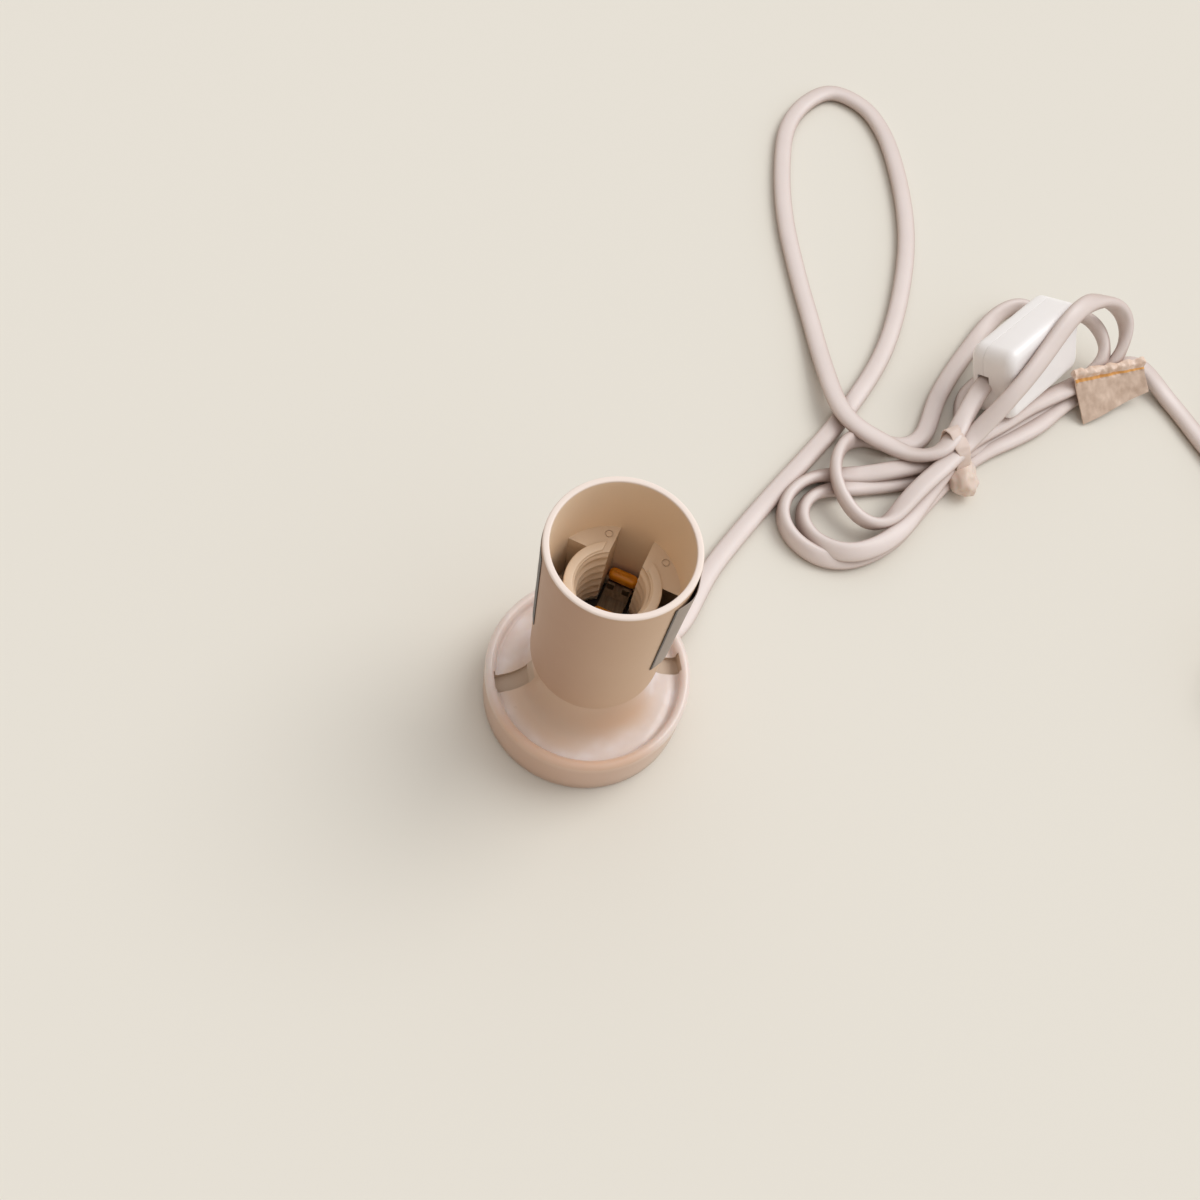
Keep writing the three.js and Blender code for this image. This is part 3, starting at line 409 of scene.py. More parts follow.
def soaking(mat, depth):
    """Let light soak into a material to a depth in millimetres, red light the deepest."""
    shader = mat.node_tree.nodes["Principled BSDF"]
    shader.inputs["Subsurface Radius"].default_value = (1.0, 0.7, 0.5)
    shader.inputs["Subsurface Scale"].default_value = depth * MM


def where(mat, axis, start, end):
    """Socket that goes from 0 to 1 between two sizes of X, Y, Z or R, distance from the axis."""
    tree = mat.node_tree
    place = place_on(tree)
    if axis == "R":
        flat = add_node(tree, "VectorMath", {0: place, 1: (1.0, 1.0, 0.0)},
                        operation="MULTIPLY").outputs[0]
        value = add_node(tree, "VectorMath", {0: flat}, operation="LENGTH").outputs["Value"]
    else:
        value = add_node(tree, "SeparateXYZ", {0: place}).outputs[axis]
    return ramp(tree, value, start * MM, end * MM, shape="SMOOTHSTEP")


def patches(mat, size, start, end):
    """Socket of soft random patches of a size in millimetres."""
    return ramp(mat.node_tree, clouds(mat.node_tree, size, 2.0), start, end, shape="SMOOTHSTEP")


def grazing_shade(mat, start, end, most):
    """Socket that grows up to most where the surface turns away from the eye; it masks painted
    shade.
    """
    facing = add_node(mat.node_tree, "LayerWeight", {"Blend": 0.5}).outputs["Facing"]
    return ramp(mat.node_tree, facing, start, end, most)


def crevice_shade(mat, distance, most):
    """Socket that grows up to most where other surfaces close in within a distance, in mm; it masks
    painted shade.
    """
    shut = add_node(mat.node_tree, "AmbientOcclusion", {"Distance": distance * MM}, samples=8)
    return ramp(mat.node_tree, shut.outputs["AO"], 1.0, 0.15, most)


def toned(mat, colour, *amounts):
    """Lay another colour over a material's tone where all amounts are 1.

    An amount is a socket, or the axis, start and end of where().
    """
    tree = mat.node_tree
    base = tree.nodes["Principled BSDF"].inputs["Base Color"]
    sockets = [where(mat, *a) if isinstance(a, tuple) else a for a in amounts]
    share = joined(tree, "MULTIPLY", *sockets)
    tree.links.new(blend(tree, share, base.links[0].from_socket, linear(colour)), base)


# ABS of the holder's shell: dull from the mould; its warm beige is partly the plastic's own cream
# and partly painted shade; painted light makes it paler on its lit side, on the inner wall above
# its inner ledge and at the rim, which faces up
shell_abs = moulded("shell_abs", "#bd987e", "#b59078", 14.0, 0.5, 0.35, 0.004, ior=1.53)
# painted light: paler towards the lit side
toned(shell_abs, "#d2b091", ("X", -8.0, 11.0))
# painted light on the inner wall above the ledge
toned(shell_abs, "#f3dcbf", ("R", 13.1, 12.9), ("Z", LEDGE_TOP, 26.5))
# painted light on the rim's top
toned(shell_abs, "#f2e2d6", ("Z", SHELL_TOP - 0.5, SHELL_TOP - 0.15))

# ABS of the thread insert: creamier than the shell, with the polish of a finer mould
insert_abs = moulded("insert_abs", "#e6d0b6", "#dcc4a8", 6.0, 0.42, 0.3, 0.003, ior=1.53)

# Milky polypropylene of the cup: waxy and half clear, so it is cloudy; painted reflections make
# paler patches in its floor, and painted shade makes it browner in front, on the lip and down the
# wall
cup_pp = moulded("cup_polypropylene", "#e9dcd4", "#d9c6bb", 7.0, 0.3, 1.6, 0.004, ior=1.49,
                 subsurface_weight=0.25, coat_weight=0.3)
soaking(cup_pp, 2.5)
# painted reflections: paler glossy patches in the floor
toned(cup_pp, "#f0e9e8", patches(cup_pp, 6.0, 0.4, 0.8), ("R", 20.0, 18.8))
# painted shadow of the shell on the floor in front of it
toned(cup_pp, "#d6b599", ("R", 18.6, 13.0), ("Y", 3.0, -8.0))
# painted shade on the floor towards the front left
toned(cup_pp, "#d9bda5", ("X", 9.0, -5.0), ("R", 20.6, 16.0), ("Y", 0.0, -9.0))
# painted shade on the lip in front
toned(cup_pp, "#d9b8a0", ("R", 19.4, 20.4), ("Y", -9.0, -18.0))
# painted shade on the outer wall below the lip
toned(cup_pp, "#cfab93", ("R", 20.6, 21.8), ("Z", 13.2, 10.5))
# painted shade, darker towards the foot of the outer wall
toned(cup_pp, "#b8967e", ("R", 20.6, 21.8), ("Z", 5.0, 0.5))

# Painted shade: the cup's channel is darker than the floor round it
channel_shade_pp = moulded("cup_channel_painted_shade", "#cdb8a3", "#c2ab95", 5.0, 0.4, 0.8, 0.006,
                     ior=1.49)

# PVC of the cord's sheath: pinkish white, with the satin skin of an extruded lead; painted shade
# makes it browner where it turns away from the eye and between the strands
cord_pvc = moulded("cord_pvc", "#e9dcd6", "#e0d2cb", 9.0, 0.4, 0.9, 0.01, ior=1.52,
                   subsurface_weight=0.06)
soaking(cord_pvc, 0.8)
# painted shade at the edges that turn away from the eye
toned(cord_pvc, "#b9a196", grazing_shade(cord_pvc, 0.3, 0.9, 0.85))
# painted shade in the crevices between strands
toned(cord_pvc, "#a58c80", crevice_shade(cord_pvc, 5.0, 0.8))

# Glossy white ABS of the switch
switch_abs = moulded("switch_abs", "#fdfaf8", "#f8f3f0", 10.0, 0.32, 0.5, 0.003, ior=1.53,
                     coat_weight=0.15)

# Satin white PVC of the plug, duller ABS of the clamp, and dull grey polypropylene of the cover
plug_pvc = moulded("plug_pvc", "#f4ebe5", "#ecdfd8", 10.0, 0.42, 0.4, 0.004, ior=1.52)
clamp_abs = moulded("clamp_abs", "#efe6dc", "#e4d9cd", 4.0, 0.45, 0.3, 0.003, ior=1.53)
cover_pp = moulded("cover_polypropylene", "#d8d4cf", "#ccc7c1", 8.0, 0.55, 0.4, 0.006, ior=1.49)

# Phenolic of the contact carrier: near black, faintly grained
carrier_phenolic = moulded("carrier_phenolic", "#33281f", "#241b15", 3.0, 0.5, 0.25, 0.004, ior=1.6)

# Orange polyamide insulators: saturated and softly shining
insulator_polyamide = moulded("insulator_polyamide", "#ffa41c", "#fb9510", 3.0, 0.36, 0.3, 0.003,
                              ior=1.53, subsurface_weight=0.1)

# PVC of the two cores: plain brown and blue, a little shiny
core_brown = moulded("core_pvc_brown", "#6b3f22", "#5d361d", 3.0, 0.5, 0.3, 0.003)
core_blue = moulded("core_pvc_blue", "#2f6fb0", "#28629c", 3.0, 0.5, 0.3, 0.003)

# Sleeves of the plug's pins: hard satin polyamide
sleeve_polyamide = moulded("sleeve_polyamide", "#e9e2db", "#dfd6ce", 3.0, 0.35, 0.3, 0.002)

# Tie: thin soft film of the cord's own colour, made a little browner as painted shade
tie_film = moulded("tie_film", "#e9d4c8", "#d9bda9", 3.0, 0.35, 0.5, 0.02, ior=1.5,
                   subsurface_weight=0.1)

# Coated paper of the label, grey, and its dark edges
label_paper = moulded("label_paper", "#a5968b", "#988a7f", 5.0, 0.5, 0.3, 0.004)
label_dark_edge = moulded("label_dark_edge", "#3a2c25", "#2a1f1a", 2.0, 0.45, 0.3, 0.004)

# Film of the flag tag: brownish and mottled, pale and crinkled at its fold, with an orange stripe
tag_film = moulded("tag_film", "#f0d8c4", "#a98a72", 3.0, 0.42, 0.5, 0.02, ior=1.5, coat_weight=0.2)
tag_fold = moulded("tag_fold", "#fff0e4", "#cfa684", 1.6, 0.45, 0.4, 0.03)
tag_stripe = moulded("tag_stripe", "#eeb469", "#d99647", 1.5, 0.42, 0.4, 0.01)

# Tin-plated bronze contacts gone dull, zinc-plated steel, and nickel-plated brass pins
contact_bronze = drawn_metal("contact_tinned_bronze", "#8d8071", "#4d4238", 0.38, 0.5)
zinc_steel = drawn_metal("zinc_plated_steel", "#c3c4c4", "#a9aaab", 0.38, 0.4)
pin_nickel = drawn_metal("nickel_plated_brass", "#d2cec4", "#bdb8ac", 0.24, 0.4)


# Cord: its route as (x, y, z, roll in degrees), roll 0 lying flat and 90 on edge; a point that
# leaves out its roll, or its height too, lies flat

def between(t, start, end, p, q):
    """The point at t of the line that is at p when t is start, and at q when t is end."""
    return p * ((end - t) / (end - start)) + q * ((t - start) / (end - start))


def smooth_route(points, step=1.0):
    """Centripetal curve through the points, sampled about every step millimetres."""
    pts = [Vector(p) for p in points]
    ext = [pts[0] * 2 - pts[1]] + pts + [pts[-1] * 2 - pts[-2]]
    out = []
    for i in range(1, len(ext) - 2):
        p0, p1, p2, p3 = ext[i - 1:i + 3]
        t0 = 0.0
        t1 = t0 + max((p1 - p0).length, 1e-6) ** 0.5
        t2 = t1 + max((p2 - p1).length, 1e-6) ** 0.5
        t3 = t2 + max((p3 - p2).length, 1e-6) ** 0.5
        n = max(2, int(round((p2 - p1).length / step)))
        for k in range(n):
            t = t1 + (t2 - t1) * k / n
            a1 = between(t, t0, t1, p0, p1)
            a2 = between(t, t1, t2, p1, p2)
            a3 = between(t, t2, t3, p2, p3)
            b1, b2 = between(t, t0, t2, a1, a2), between(t, t1, t3, a2, a3)
            out.append(between(t, t1, t2, b1, b2))
    out.append(ext[-2])
    return out


def relaxed(samples, rounds=12):
    """Ease the small waves out of the given points, ends kept."""
    pts = [p.copy() for p in samples]
    for _ in range(rounds):
        nxt = [p.copy() for p in pts]
        for i in range(1, len(pts) - 1):
            nxt[i] = pts[i] * 0.5 + (pts[i - 1] + pts[i + 1]) * 0.25
        pts = nxt
    return pts


def flat_section(sides=20):
    """Rounded flat section of the two-core sheath, as (across, up) pairs."""
    square = 0.82  # below 1 the section is squarer than an ellipse
    out = []
    for i in range(sides):
        a = 2 * pi * i / sides
        c, s = cos(a), sin(a)
        x = CORD_WIDTH / 2 * copysign(abs(c) ** square, c)
        y = CORD_THICKNESS / 2 * copysign(abs(s) ** square, s)
        out.append((x, y))
    return out


def complete(point):
    """(x, y, z, roll) of a route's point, which may leave out its roll, and its z too."""
    return (*point, *(LYING, 0.0)[len(point) - 2:])


def lifted(sample):
    """A sample of the route raised, where need be, until the rolled section clears the table."""
    roll = radians(sample[3] * ROLL_UNIT)
    reach = hypot(CORD_WIDTH / 2 * sin(roll), CORD_THICKNESS / 2 * cos(roll))
    return Vector((sample[0], sample[1], max(sample[2], reach + CORD_REST), sample[3]))


def cord_mesh(name, route):
    """Sweep the flat section along a route; returns the mesh, its centre line and its rolls."""
    samples = relaxed(smooth_route([(*p[:3], p[3] / ROLL_UNIT) for p in map(complete, route)]))
    samples = relaxed([lifted(s) for s in samples], 3)
    centre = [Vector(s[:3]) for s in samples]
    rolls = [radians(s[3] * ROLL_UNIT) for s in samples]
    section = flat_section()
    points = []
    for i, roll in enumerate(rolls):
        before, after = centre[max(i - 1, 0)], centre[min(i + 1, len(centre) - 1)]
        tangent = (after - before).normalized()
        side = tangent.cross(Vector((0, 0, 1)))
        side = side.normalized() if side.length > 1e-4 else Vector((1, 0, 0))
        up = side.cross(tangent).normalized()
        across = side * cos(roll) + up * sin(roll)
        thin = up * cos(roll) - side * sin(roll)
        points += [centre[i] + across * x + thin * y for x, y in section]
    mesh = mesh_from(name, points, tube_faces(len(section), len(centre)), 80)
    return mesh, centre, rolls


# From the base through its loop and the tie into the switch
feed_route = [
    (13.0, 14.5, 5.0), (14.9, 16.6, 5.0), (17.0, 19.6, 4.2), (18.6, 24.8, 2.9),
    (19.9, 31.0, 1.9), (21.2, 36.6), (23.7, 43.3), (28.4, 54.0), (33.0, 63.9), (37.7, 73.5),
    (42.0, 82.3), (44.8, 88.4), (47.6, 95.8), (50.9, 105.0), (53.8, 116.0), (55.6, 133.6),
    (54.8, 156.6), (50.1, 177.4), (42.6, 195.8), (35.4, 203.9), (25.5, 206.2), (18.9, 198.9),
    (15.3, 187.6), (16.4, 171.0), (20.4, 152.4), (27.4, 132.8), (33.3, 118.3, 1.9),
    (36.8, 109.0, 2.6), (40.4, 99.8, 3.8), (43.7, 92.2, 5.0), (47.5, 87.6, 5.4),
    (52.4, 85.2, 5.5), (58.1, 83.5, 5.6), (62.0, 81.9, 6.2, 15), (66.1, 81.4, 7.4, 35),
    (69.6, 82.3, 8.6, 45), (71.6, 84.8, 9.2, 40), (73.0, 89.2, 9.8, 20), (74.4, 94.0, 10.6),
    (76.0, 99.6, 11.4), (77.6, 104.2, 12.0), (79.2, 107.0, 12.0),
]

# From the switch through the rest of the hank and the tag to the coil and the plug
switch_out = [
    (92.8, 127.4, 12.0, 30), (94.4, 129.9, 12.0, 30), (98.4, 134.6, 12.0, 40),
    (103.0, 136.2, 11.8, 60), (107.6, 133.0, 11.0, 70), (109.9, 128.4, 9.6, 60),
    (109.0, 123.0, 7.0, 30), (104.6, 118.6, 5.2), (99.3, 113.9, 4.7), (93.0, 108.1, 4.7),
    (85.8, 99.8, 4.7), (79.6, 93.4, 4.8), (75.0, 86.0, 4.9),
]
lobe_inner = [
    (71.8, 78.4, 4.8), (68.2, 70.0, 4.8), (64.3, 60.8, 4.8, 10), (59.4, 54.6, 4.8, 20),
    (52.8, 50.6, 4.5, 35), (46.0, 51.4, 3.4, 60), (41.7, 55.0, 2.6, 80), (39.9, 59.4, 2.6, 85),
    (41.0, 64.2, 2.4, 75), (44.2, 67.4, 2.0, 45), (48.4, 69.8, 1.6, 15), (56.0, 73.0),
    (63.6, 76.6), (70.6, 81.6, 1.7),
]
behind_switch = [
    (76.0, 88.6, 1.8), (77.6, 95.4), (76.6, 102.0), (76.4, 107.4), (80.4, 113.9), (85.6, 121.8),
    (90.4, 129.2), (93.8, 135.6, 1.6, 30), (93.4, 141.4, 2.2, 75), (88.6, 143.2, 2.4, 80),
    (84.0, 139.6, 2.2, 60), (79.9, 132.8, 1.7, 20), (76.9, 125.6), (73.9, 118.4), (71.4, 111.4),
    (69.2, 104.0), (68.3, 97.0), (67.4, 91.8), (65.0, 88.2), (61.2, 86.6),
]
lobe_centre = [
    (56.6, 86.6), (53.2, 87.2, 1.6, 10), (50.0, 85.3, 2.4, 45), (47.2, 81.6, 4.2, 75),
    (45.7, 76.8, 5.5, 80), (45.5, 72.4, 6.0, 80), (46.6, 68.2, 6.2, 80), (49.4, 64.1, 5.6, 80),
    (53.4, 60.7, 5.0, 80), (57.8, 59.8, 4.9, 75), (61.1, 62.1, 5.3, 55), (63.8, 67.1, 6.6, 25),
    (67.0, 72.8, 7.8, 10), (70.7, 78.3, 8.2, 15), (73.4, 82.6, 8.3, 10),
]
over_switch = [
    (76.6, 88.6, 8.6, -5), (80.0, 93.6, 12.6, -25), (83.2, 98.6, 17.0, -40),
    (86.2, 104.2, 19.6, -38), (89.0, 110.6, 21.3, -30), (91.6, 116.9, 23.3, -30),
    (93.9, 122.0, 24.6, -30), (97.2, 127.4, 24.2, -20), (101.6, 132.2, 22.0, 20),
    (106.6, 135.2, 19.4, 60), (110.8, 135.8, 16.6, 75), (113.6, 133.4, 13.2, 80),
    (113.8, 128.6, 9.6, 70), (111.4, 123.4, 5.6, 50), (107.4, 118.8, 2.6, 20),
    (102.6, 113.8, 1.7), (97.2, 105.6), (89.8, 98.1), (83.5, 92.6), (77.0, 84.6, 1.7),
]
lobe_outer = [
    (71.6, 75.6), (67.4, 67.4), (63.6, 59.8), (58.8, 54.2, 1.6, 5), (53.4, 50.4, 1.6, 20),
    (48.0, 48.8, 1.9, 45), (43.0, 49.6, 2.2, 65), (38.4, 52.4, 2.5, 80), (35.4, 57.2, 2.5, 85),
    (35.7, 62.6, 2.5, 85), (38.6, 68.0, 2.4, 75), (42.9, 71.8, 2.0, 45), (48.0, 73.4, 1.9, 15),
    (53.6, 74.8, 2.8), (60.0, 77.4, 4.2), (67.4, 81.0, 4.8),
]
to_tag = [
    (74.4, 86.0, 4.6), (80.0, 91.6, 2.0), (86.0, 98.2), (93.0, 106.4), (100.0, 113.0),
    (107.0, 120.4, 2.4), (114.0, 127.2, 5.6), (120.4, 130.2, 6.0), (125.6, 129.2, 3.4),
    (130.2, 125.8, 1.8), (134.7, 121.2), (139.6, 115.2),
]

COIL_CENTRE = (177.5, 118.0)
COIL_START = 205.0  # where the cord arrives, in degrees
COIL_STEP = 22.0  # between two points of the route, in degrees
UPPER = 4.7  # height of the centre line in the coil's upper layer


def coil_route():
    """Turns of the coil from where the cord arrives: inwards below, outwards on the upper layer."""
    stops = [
        (0, 31.8, LYING), (300, 31.8, LYING), (380, 27.0, LYING), (660, 27.0, LYING),
        (740, 22.2, LYING), (1010, 22.2, LYING), (1090, 24.6, UPPER), (1380, 24.6, UPPER),
        (1450, 29.4, UPPER), (1760, 29.4, UPPER),
    ]
    out = []
    for (a0, r0, z0), (a1, r1, z1) in zip(stops, stops[1:]):
        n = max(2, int(round((a1 - a0) / COIL_STEP)))
        for k in range(n):
            f = k / n
            f = f * f * (3 - 2 * f) if r0 != r1 else f
            a = radians(COIL_START + a0 + (a1 - a0) * k / n)
            r, z = r0 + (r1 - r0) * f, z0 + (z1 - z0) * f
            out.append((COIL_CENTRE[0] + r * cos(a), COIL_CENTRE[1] + r * sin(a), z))
    return out


to_plug = [
    (157.4, 96.4, 4.7), (161.6, 92.6, 4.8), (165.2, 88.4, 5.2), (167.2, 83.4, 6.2),
    (168.0, 78.6, 6.9), (168.0, 74.4, 6.95), (168.0, 71.0, 6.95),
]

tail_route = (switch_out + lobe_inner + behind_switch + lobe_centre + over_switch + lobe_outer
              + to_tag + coil_route() + to_plug)

CORDS = []
for name, route, replaced in (
        ("cord_feed_fine", feed_route, ("cord_feed", "cord_switch_in", "cord_inside")),
        ("cord_tail_fine", tail_route, ("cord_switch_out", "cord_hank_near", "cord_hank_far",
                                        "cord_tail", "cord_coil", "cord_plug_lead"))):
    mesh, centre, rolls = cord_mesh(name, route)
    obj = add_object(name, mesh, cord_pvc, replaces=replaced)
    CORDS.append((obj, centre, rolls))


# Cup base

def floor_curve(drop=0.0):
    """Trumpet-shaped floor from the lip to the collar, as (radius, height)."""
    end = radians(SEAT_END)
    collar = (FOOT_CENTRE[0] + SEAT_RADIUS * cos(end) + 0.2,
              FOOT_CENTRE[1] + SEAT_RADIUS * sin(end) - 0.1)
    return curve((CUP_INSIDE, CUP_LEVEL - drop), (collar[0] + 1.2, CUP_LEVEL + 0.7 - drop),
                 (collar[0], collar[1] - drop), 26)


def cup_outline():
    """Half section of the cup, closed, from its foot up the outside and back under the floor."""
    lip = CUP_WALL / 2
    fillet = 0.8  # between the wall and the floor
    boss = SHELL_LOW - SEAT_GAP - 2.6  # underside of the middle that the nipple passes
    below = 1.4  # how far the hollow underneath stays from the wall
    recess = 2.2  # of the bottom cover
    floor = floor_curve()
    foot = CUP_FOOT_ROUNDING
    outline = [(COVER_RADIUS, 0.0)]
    outline += arc((CUP_RADIUS - foot, foot), foot, -90, 0, 8)
    outline += arc((CUP_RADIUS - lip, CUP_HEIGHT - lip), lip, 0, 180, 14)
    outline += arc((CUP_INSIDE - fillet, CUP_LEVEL + fillet), fillet, -15, -75, 4)
    outline += [p for p in floor if p.x < CUP_INSIDE - fillet - 0.1]
    outline += arc(FOOT_CENTRE, SEAT_RADIUS, SEAT_END, -90, 8)
    outline += [(BORE, SHELL_LOW - SEAT_GAP), (BORE, boss)]
    outline += curve((BORE + 4.4, boss),
                     (floor[-1].x + 1.2 - CUP_FLOOR_THICKNESS, CUP_LEVEL - below),
                     (CUP_INSIDE - below, CUP_LEVEL - CUP_FLOOR_THICKNESS), 10)
    return outline + [(CUP_INSIDE - below, recess), (COVER_RADIUS, recess)]


def channel(turn):
    """Cutter of half the channel: it sinks the floor's own curve from the wall to the shell."""
    near_shell = 12.9
    sunk = floor_curve(GROOVE_DEPTH)
    outline = [Vector((CUP_INSIDE + 0.25, sunk[0].y + 0.1))] + [p for p in sunk if p.x > near_shell]
    outline += [Vector((outline[-1].x, CUP_HEIGHT + 9)), Vector((outline[0].x, CUP_HEIGHT + 0.8))]
    tool = plate("channel", outline[::-1], -GROOVE_WIDTH / 2, GROOVE_WIDTH / 2)
    turned(tool, 90, "X")
    return turned(tool, turn, "Z")


def cord_window():
    """Cutter of the window in the cup's wall that the cord leaves by."""
    clearance = 0.7
    half = (CORD_WIDTH / 2 + clearance, CORD_THICKNESS / 2 + clearance)
    tool = plate("window", rectangle(2 * half[0], 2 * half[1], half[1] - 0.01),
                 CUP_RADIUS - 6, CUP_RADIUS + 1)
    turned(turned(tool, 90, "X"), 180, "Z")
    return turned(placed(tool, Matrix.Translation((0, 0, WINDOW_HEIGHT))), WINDOW_TURN - 90, "Z")


def add_cup():
    """Cup with a rounded lip, its trumpet floor, the channel across it and the cord's window."""
    body = lathe("cup_moulding", cup_outline(), facets=192, sharp=50)
    mesh = boolean(body, channel(GROOVE_TURN), channel(GROOVE_TURN + 180), cord_window(), sharp=38)
    add_object("cup_moulding", mesh, cup_pp, replaces=("base_cup",))
    # the channel's floor faces take the material with the painted shade
    mesh.materials.append(channel_shade_pp)
    angle = radians(GROOVE_TURN)
    way = Vector((cos(angle), sin(angle)))
    for face in mesh.polygons:
        centre = face.center / MM
        flat = Vector((centre.x, centre.y))
        on_floor = SHELL_FOOT_RADIUS - 1 < flat.length < CUP_INSIDE + 0.3
        in_channel = abs(flat.cross(way)) < GROOVE_WIDTH / 2 + 0.01
        if in_channel and on_floor and centre.z > CUP_HEIGHT - 5:
            face.material_index = 1


# Holder shell, its label, and what is seated in it

def skirt_radius(z):
    """Radius of the skirt at a height; the skirt widens a little towards its rim."""
    low = SHELL_LOW + FOOT_ROUNDING
    return SHELL_FOOT_RADIUS + (SHELL_RADIUS - SHELL_FOOT_RADIUS) * (z - low) / (SHELL_TOP - low)


def add_shell():
    """Turned shell: rounded foot, drafted skirt, rounded rim, and the ledge inside."""
    mouth = SHELL_RADIUS - SHELL_WALL
    floor = SHELL_LOW + SHELL_FLOOR
    foot = arc(FOOT_CENTRE, FOOT_ROUNDING, -90, 0, 20)
    wall = [(skirt_radius(z), z) for z in (32, 38, 44, 50, 56, 62, 67)]
    rim = rounded([(SHELL_RADIUS - 0.02, SHELL_TOP - 2), (SHELL_RADIUS, SHELL_TOP, 0.42),
                   (mouth, SHELL_TOP, 0.3), (mouth - 0.02, SHELL_TOP - 2)], 5)
    inside = [(SHELL_FOOT_RADIUS - SHELL_WALL, LEDGE_TOP), (LEDGE_INSIDE, LEDGE_TOP),
              (LEDGE_INSIDE, floor), (BORE, floor), (BORE, SHELL_LOW)]
    mesh = lathe("shell_moulding", foot + wall + rim + inside, facets=192)
    add_object("shell_moulding", mesh, shell_abs, replaces=("holder_shell",))


def add_label():
    """Plain paper label round the back of the skirt; near one end it stands off the skirt."""
    low, high = 40.5, 67.6
    inner, outer = 0.03, 0.16  # distance of its two faces from the skirt
    start, end = radians(-36.5), radians(203.0)
    dark_edges = ((193.5, 204.0), (322.0, 324.6))  # dark edges, in degrees
    loose_at, loose_width, loose_lift = 0.07, 0.05, 0.7
    across, up = 120, 20
    points = []
    for layer in (inner, outer):
        for j in range(up + 1):
            z = low + (high - low) * j / up
            for i in range(across + 1):
                t = i / across
                a = start + (end - start) * t
                lift = loose_lift * exp(-((t - loose_at) / loose_width) ** 2)
                wave = 0.04 * noise.noise(Vector((t * 14, z * 0.2, 3.0)))
                r = skirt_radius(z) + layer + lift * (0.6 + 0.4 * j / up) + wave
                points.append((r * cos(a), r * sin(a), z))
    mesh = mesh_from("skirt_label", points, sheet_faces(across, up), sharp=60)
    add_object("skirt_label", mesh, label_paper)
    mesh.materials.append(label_dark_edge)
    for face in mesh.polygons:
        a = degrees(atan2(face.center.y, face.center.x)) % 360
        if any(first < a < last for first, last in dark_edges):
            face.material_index = 1


def thread_body():
    """Turned body of the insert with a thread cut round its bore."""
    facets = 144
    foot, deck = 11.75, 12.66  # outside radii
    bore_way = (12.62, INSERT_LOW)  # gives the last rounding its way, and then makes room
    outer = rounded([bore_way, (deck, DECK_TOP), (RING_RADIUS, DECK_TOP, 0.15),
                     (RING_RADIUS, RING_TOP, 0.3), (THREAD_RADIUS + 0.1, RING_TOP, 0.35)], 4)
    outer[0] = Vector((foot, INSERT_LOW))
    rungs = []
    z, step = RING_TOP - 0.6, THREAD_PITCH / 14
    while z > INSERT_LOW + 0.05:
        rungs.append(z)
        z -= step
    rungs.append(INSERT_LOW)
    points = []
    for i in range(facets):
        a = 2 * pi * i / facets
        column = [(p.x, p.y) for p in outer]
        for z in rungs:
            phase = (z / THREAD_PITCH - a / (2 * pi)) % 1.0
            ridge = (0.5 - 0.5 * cos(2 * pi * phase)) ** 1.3
            fade = (min(1.0, max(0.0, (RING_TOP - 1.1 - z) / 1.2))
                    * min(1.0, max(0.0, (z - INSERT_LOW - 1) / 1.5)))
            column.append((THREAD_RADIUS - (THREAD_RADIUS - THREAD_CREST) * ridge * fade, z))
        points += [(r * cos(a), r * sin(a), z) for r, z in column]
    faces = tube_faces(len(points) // facets, facets, closed=True)
    return mesh_from("insert_moulding", points, faces, 30)


def add_insert():
    """Thread insert: two half rings on a deck, with the slot, the pockets and the ejector marks."""
    half = SLOT_WIDTH / 2
    relief = half + RING_RELIEF
    reach = 14.0  # past the outside
    slot_floor = INSERT_LOW + 1.7
    through = 10.65  # radius within which the slot goes through the floor
    tools = [
        block((-half, -reach, slot_floor), (half, reach, RING_TOP + 1)),
        block((-relief, -reach, DECK_TOP), (relief, reach, RING_TOP + 1)),
        boolean(block((-half, -reach, INSERT_LOW - 1), (half, reach, RING_TOP)),
                cylinder(through, INSERT_LOW - 1, RING_TOP), operation="INTERSECT"),
    ]
    pocket = boolean(
        block((-reach, POCKET_NEAR, DECK_TOP - POCKET_DEPTH), (0, POCKET_FAR, DECK_TOP + 1)),
        cylinder(RING_RADIUS, INSERT_LOW - 2, RING_TOP + 2))
    tools += [pocket, turned(pocket.copy(), 180, "Z")]
    for x, y in ((-4.9, 9.7), (4.9, -9.7), (7.0, 8.9)):
        mark = lathe("mark", [(0.56, -0.25), (0.82, -0.25), (0.82, 1.0), (0.56, 1.0)], 40)
        tools.append(placed(mark, Matrix.Translation((x, y, DECK_TOP))))
    mesh = turned(boolean(thread_body(), *tools, sharp=32), HOLDER_TURN, "Z")
    add_object("insert_moulding", mesh, insert_abs, replaces=("thread_insert",))


def add_insulators():
    """Orange bars with full round ends and softly rounded edges."""
    length, width = 6.1, 2.3
    for side in ("side", "centre"):
        node = f"{side}_insulator"
        low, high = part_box(node)
        half = (high.z - low.z) / MM / 2
        mesh = plate(f"insulator_bar_{side}", rectangle(length, width, width / 2 - 0.01, 10),
                     -half - 0.05, half + 0.25, 0.5, 0.85, 8)
        turned(mesh, HOLDER_TURN, "Z")
        placed(mesh, Matrix.Translation((low + high) / 2 / MM))
        add_object(mesh.name, mesh, insulator_polyamide, replaces=(node,))


# Switch on the cord: it lies rolled over, its rocker turned down and away

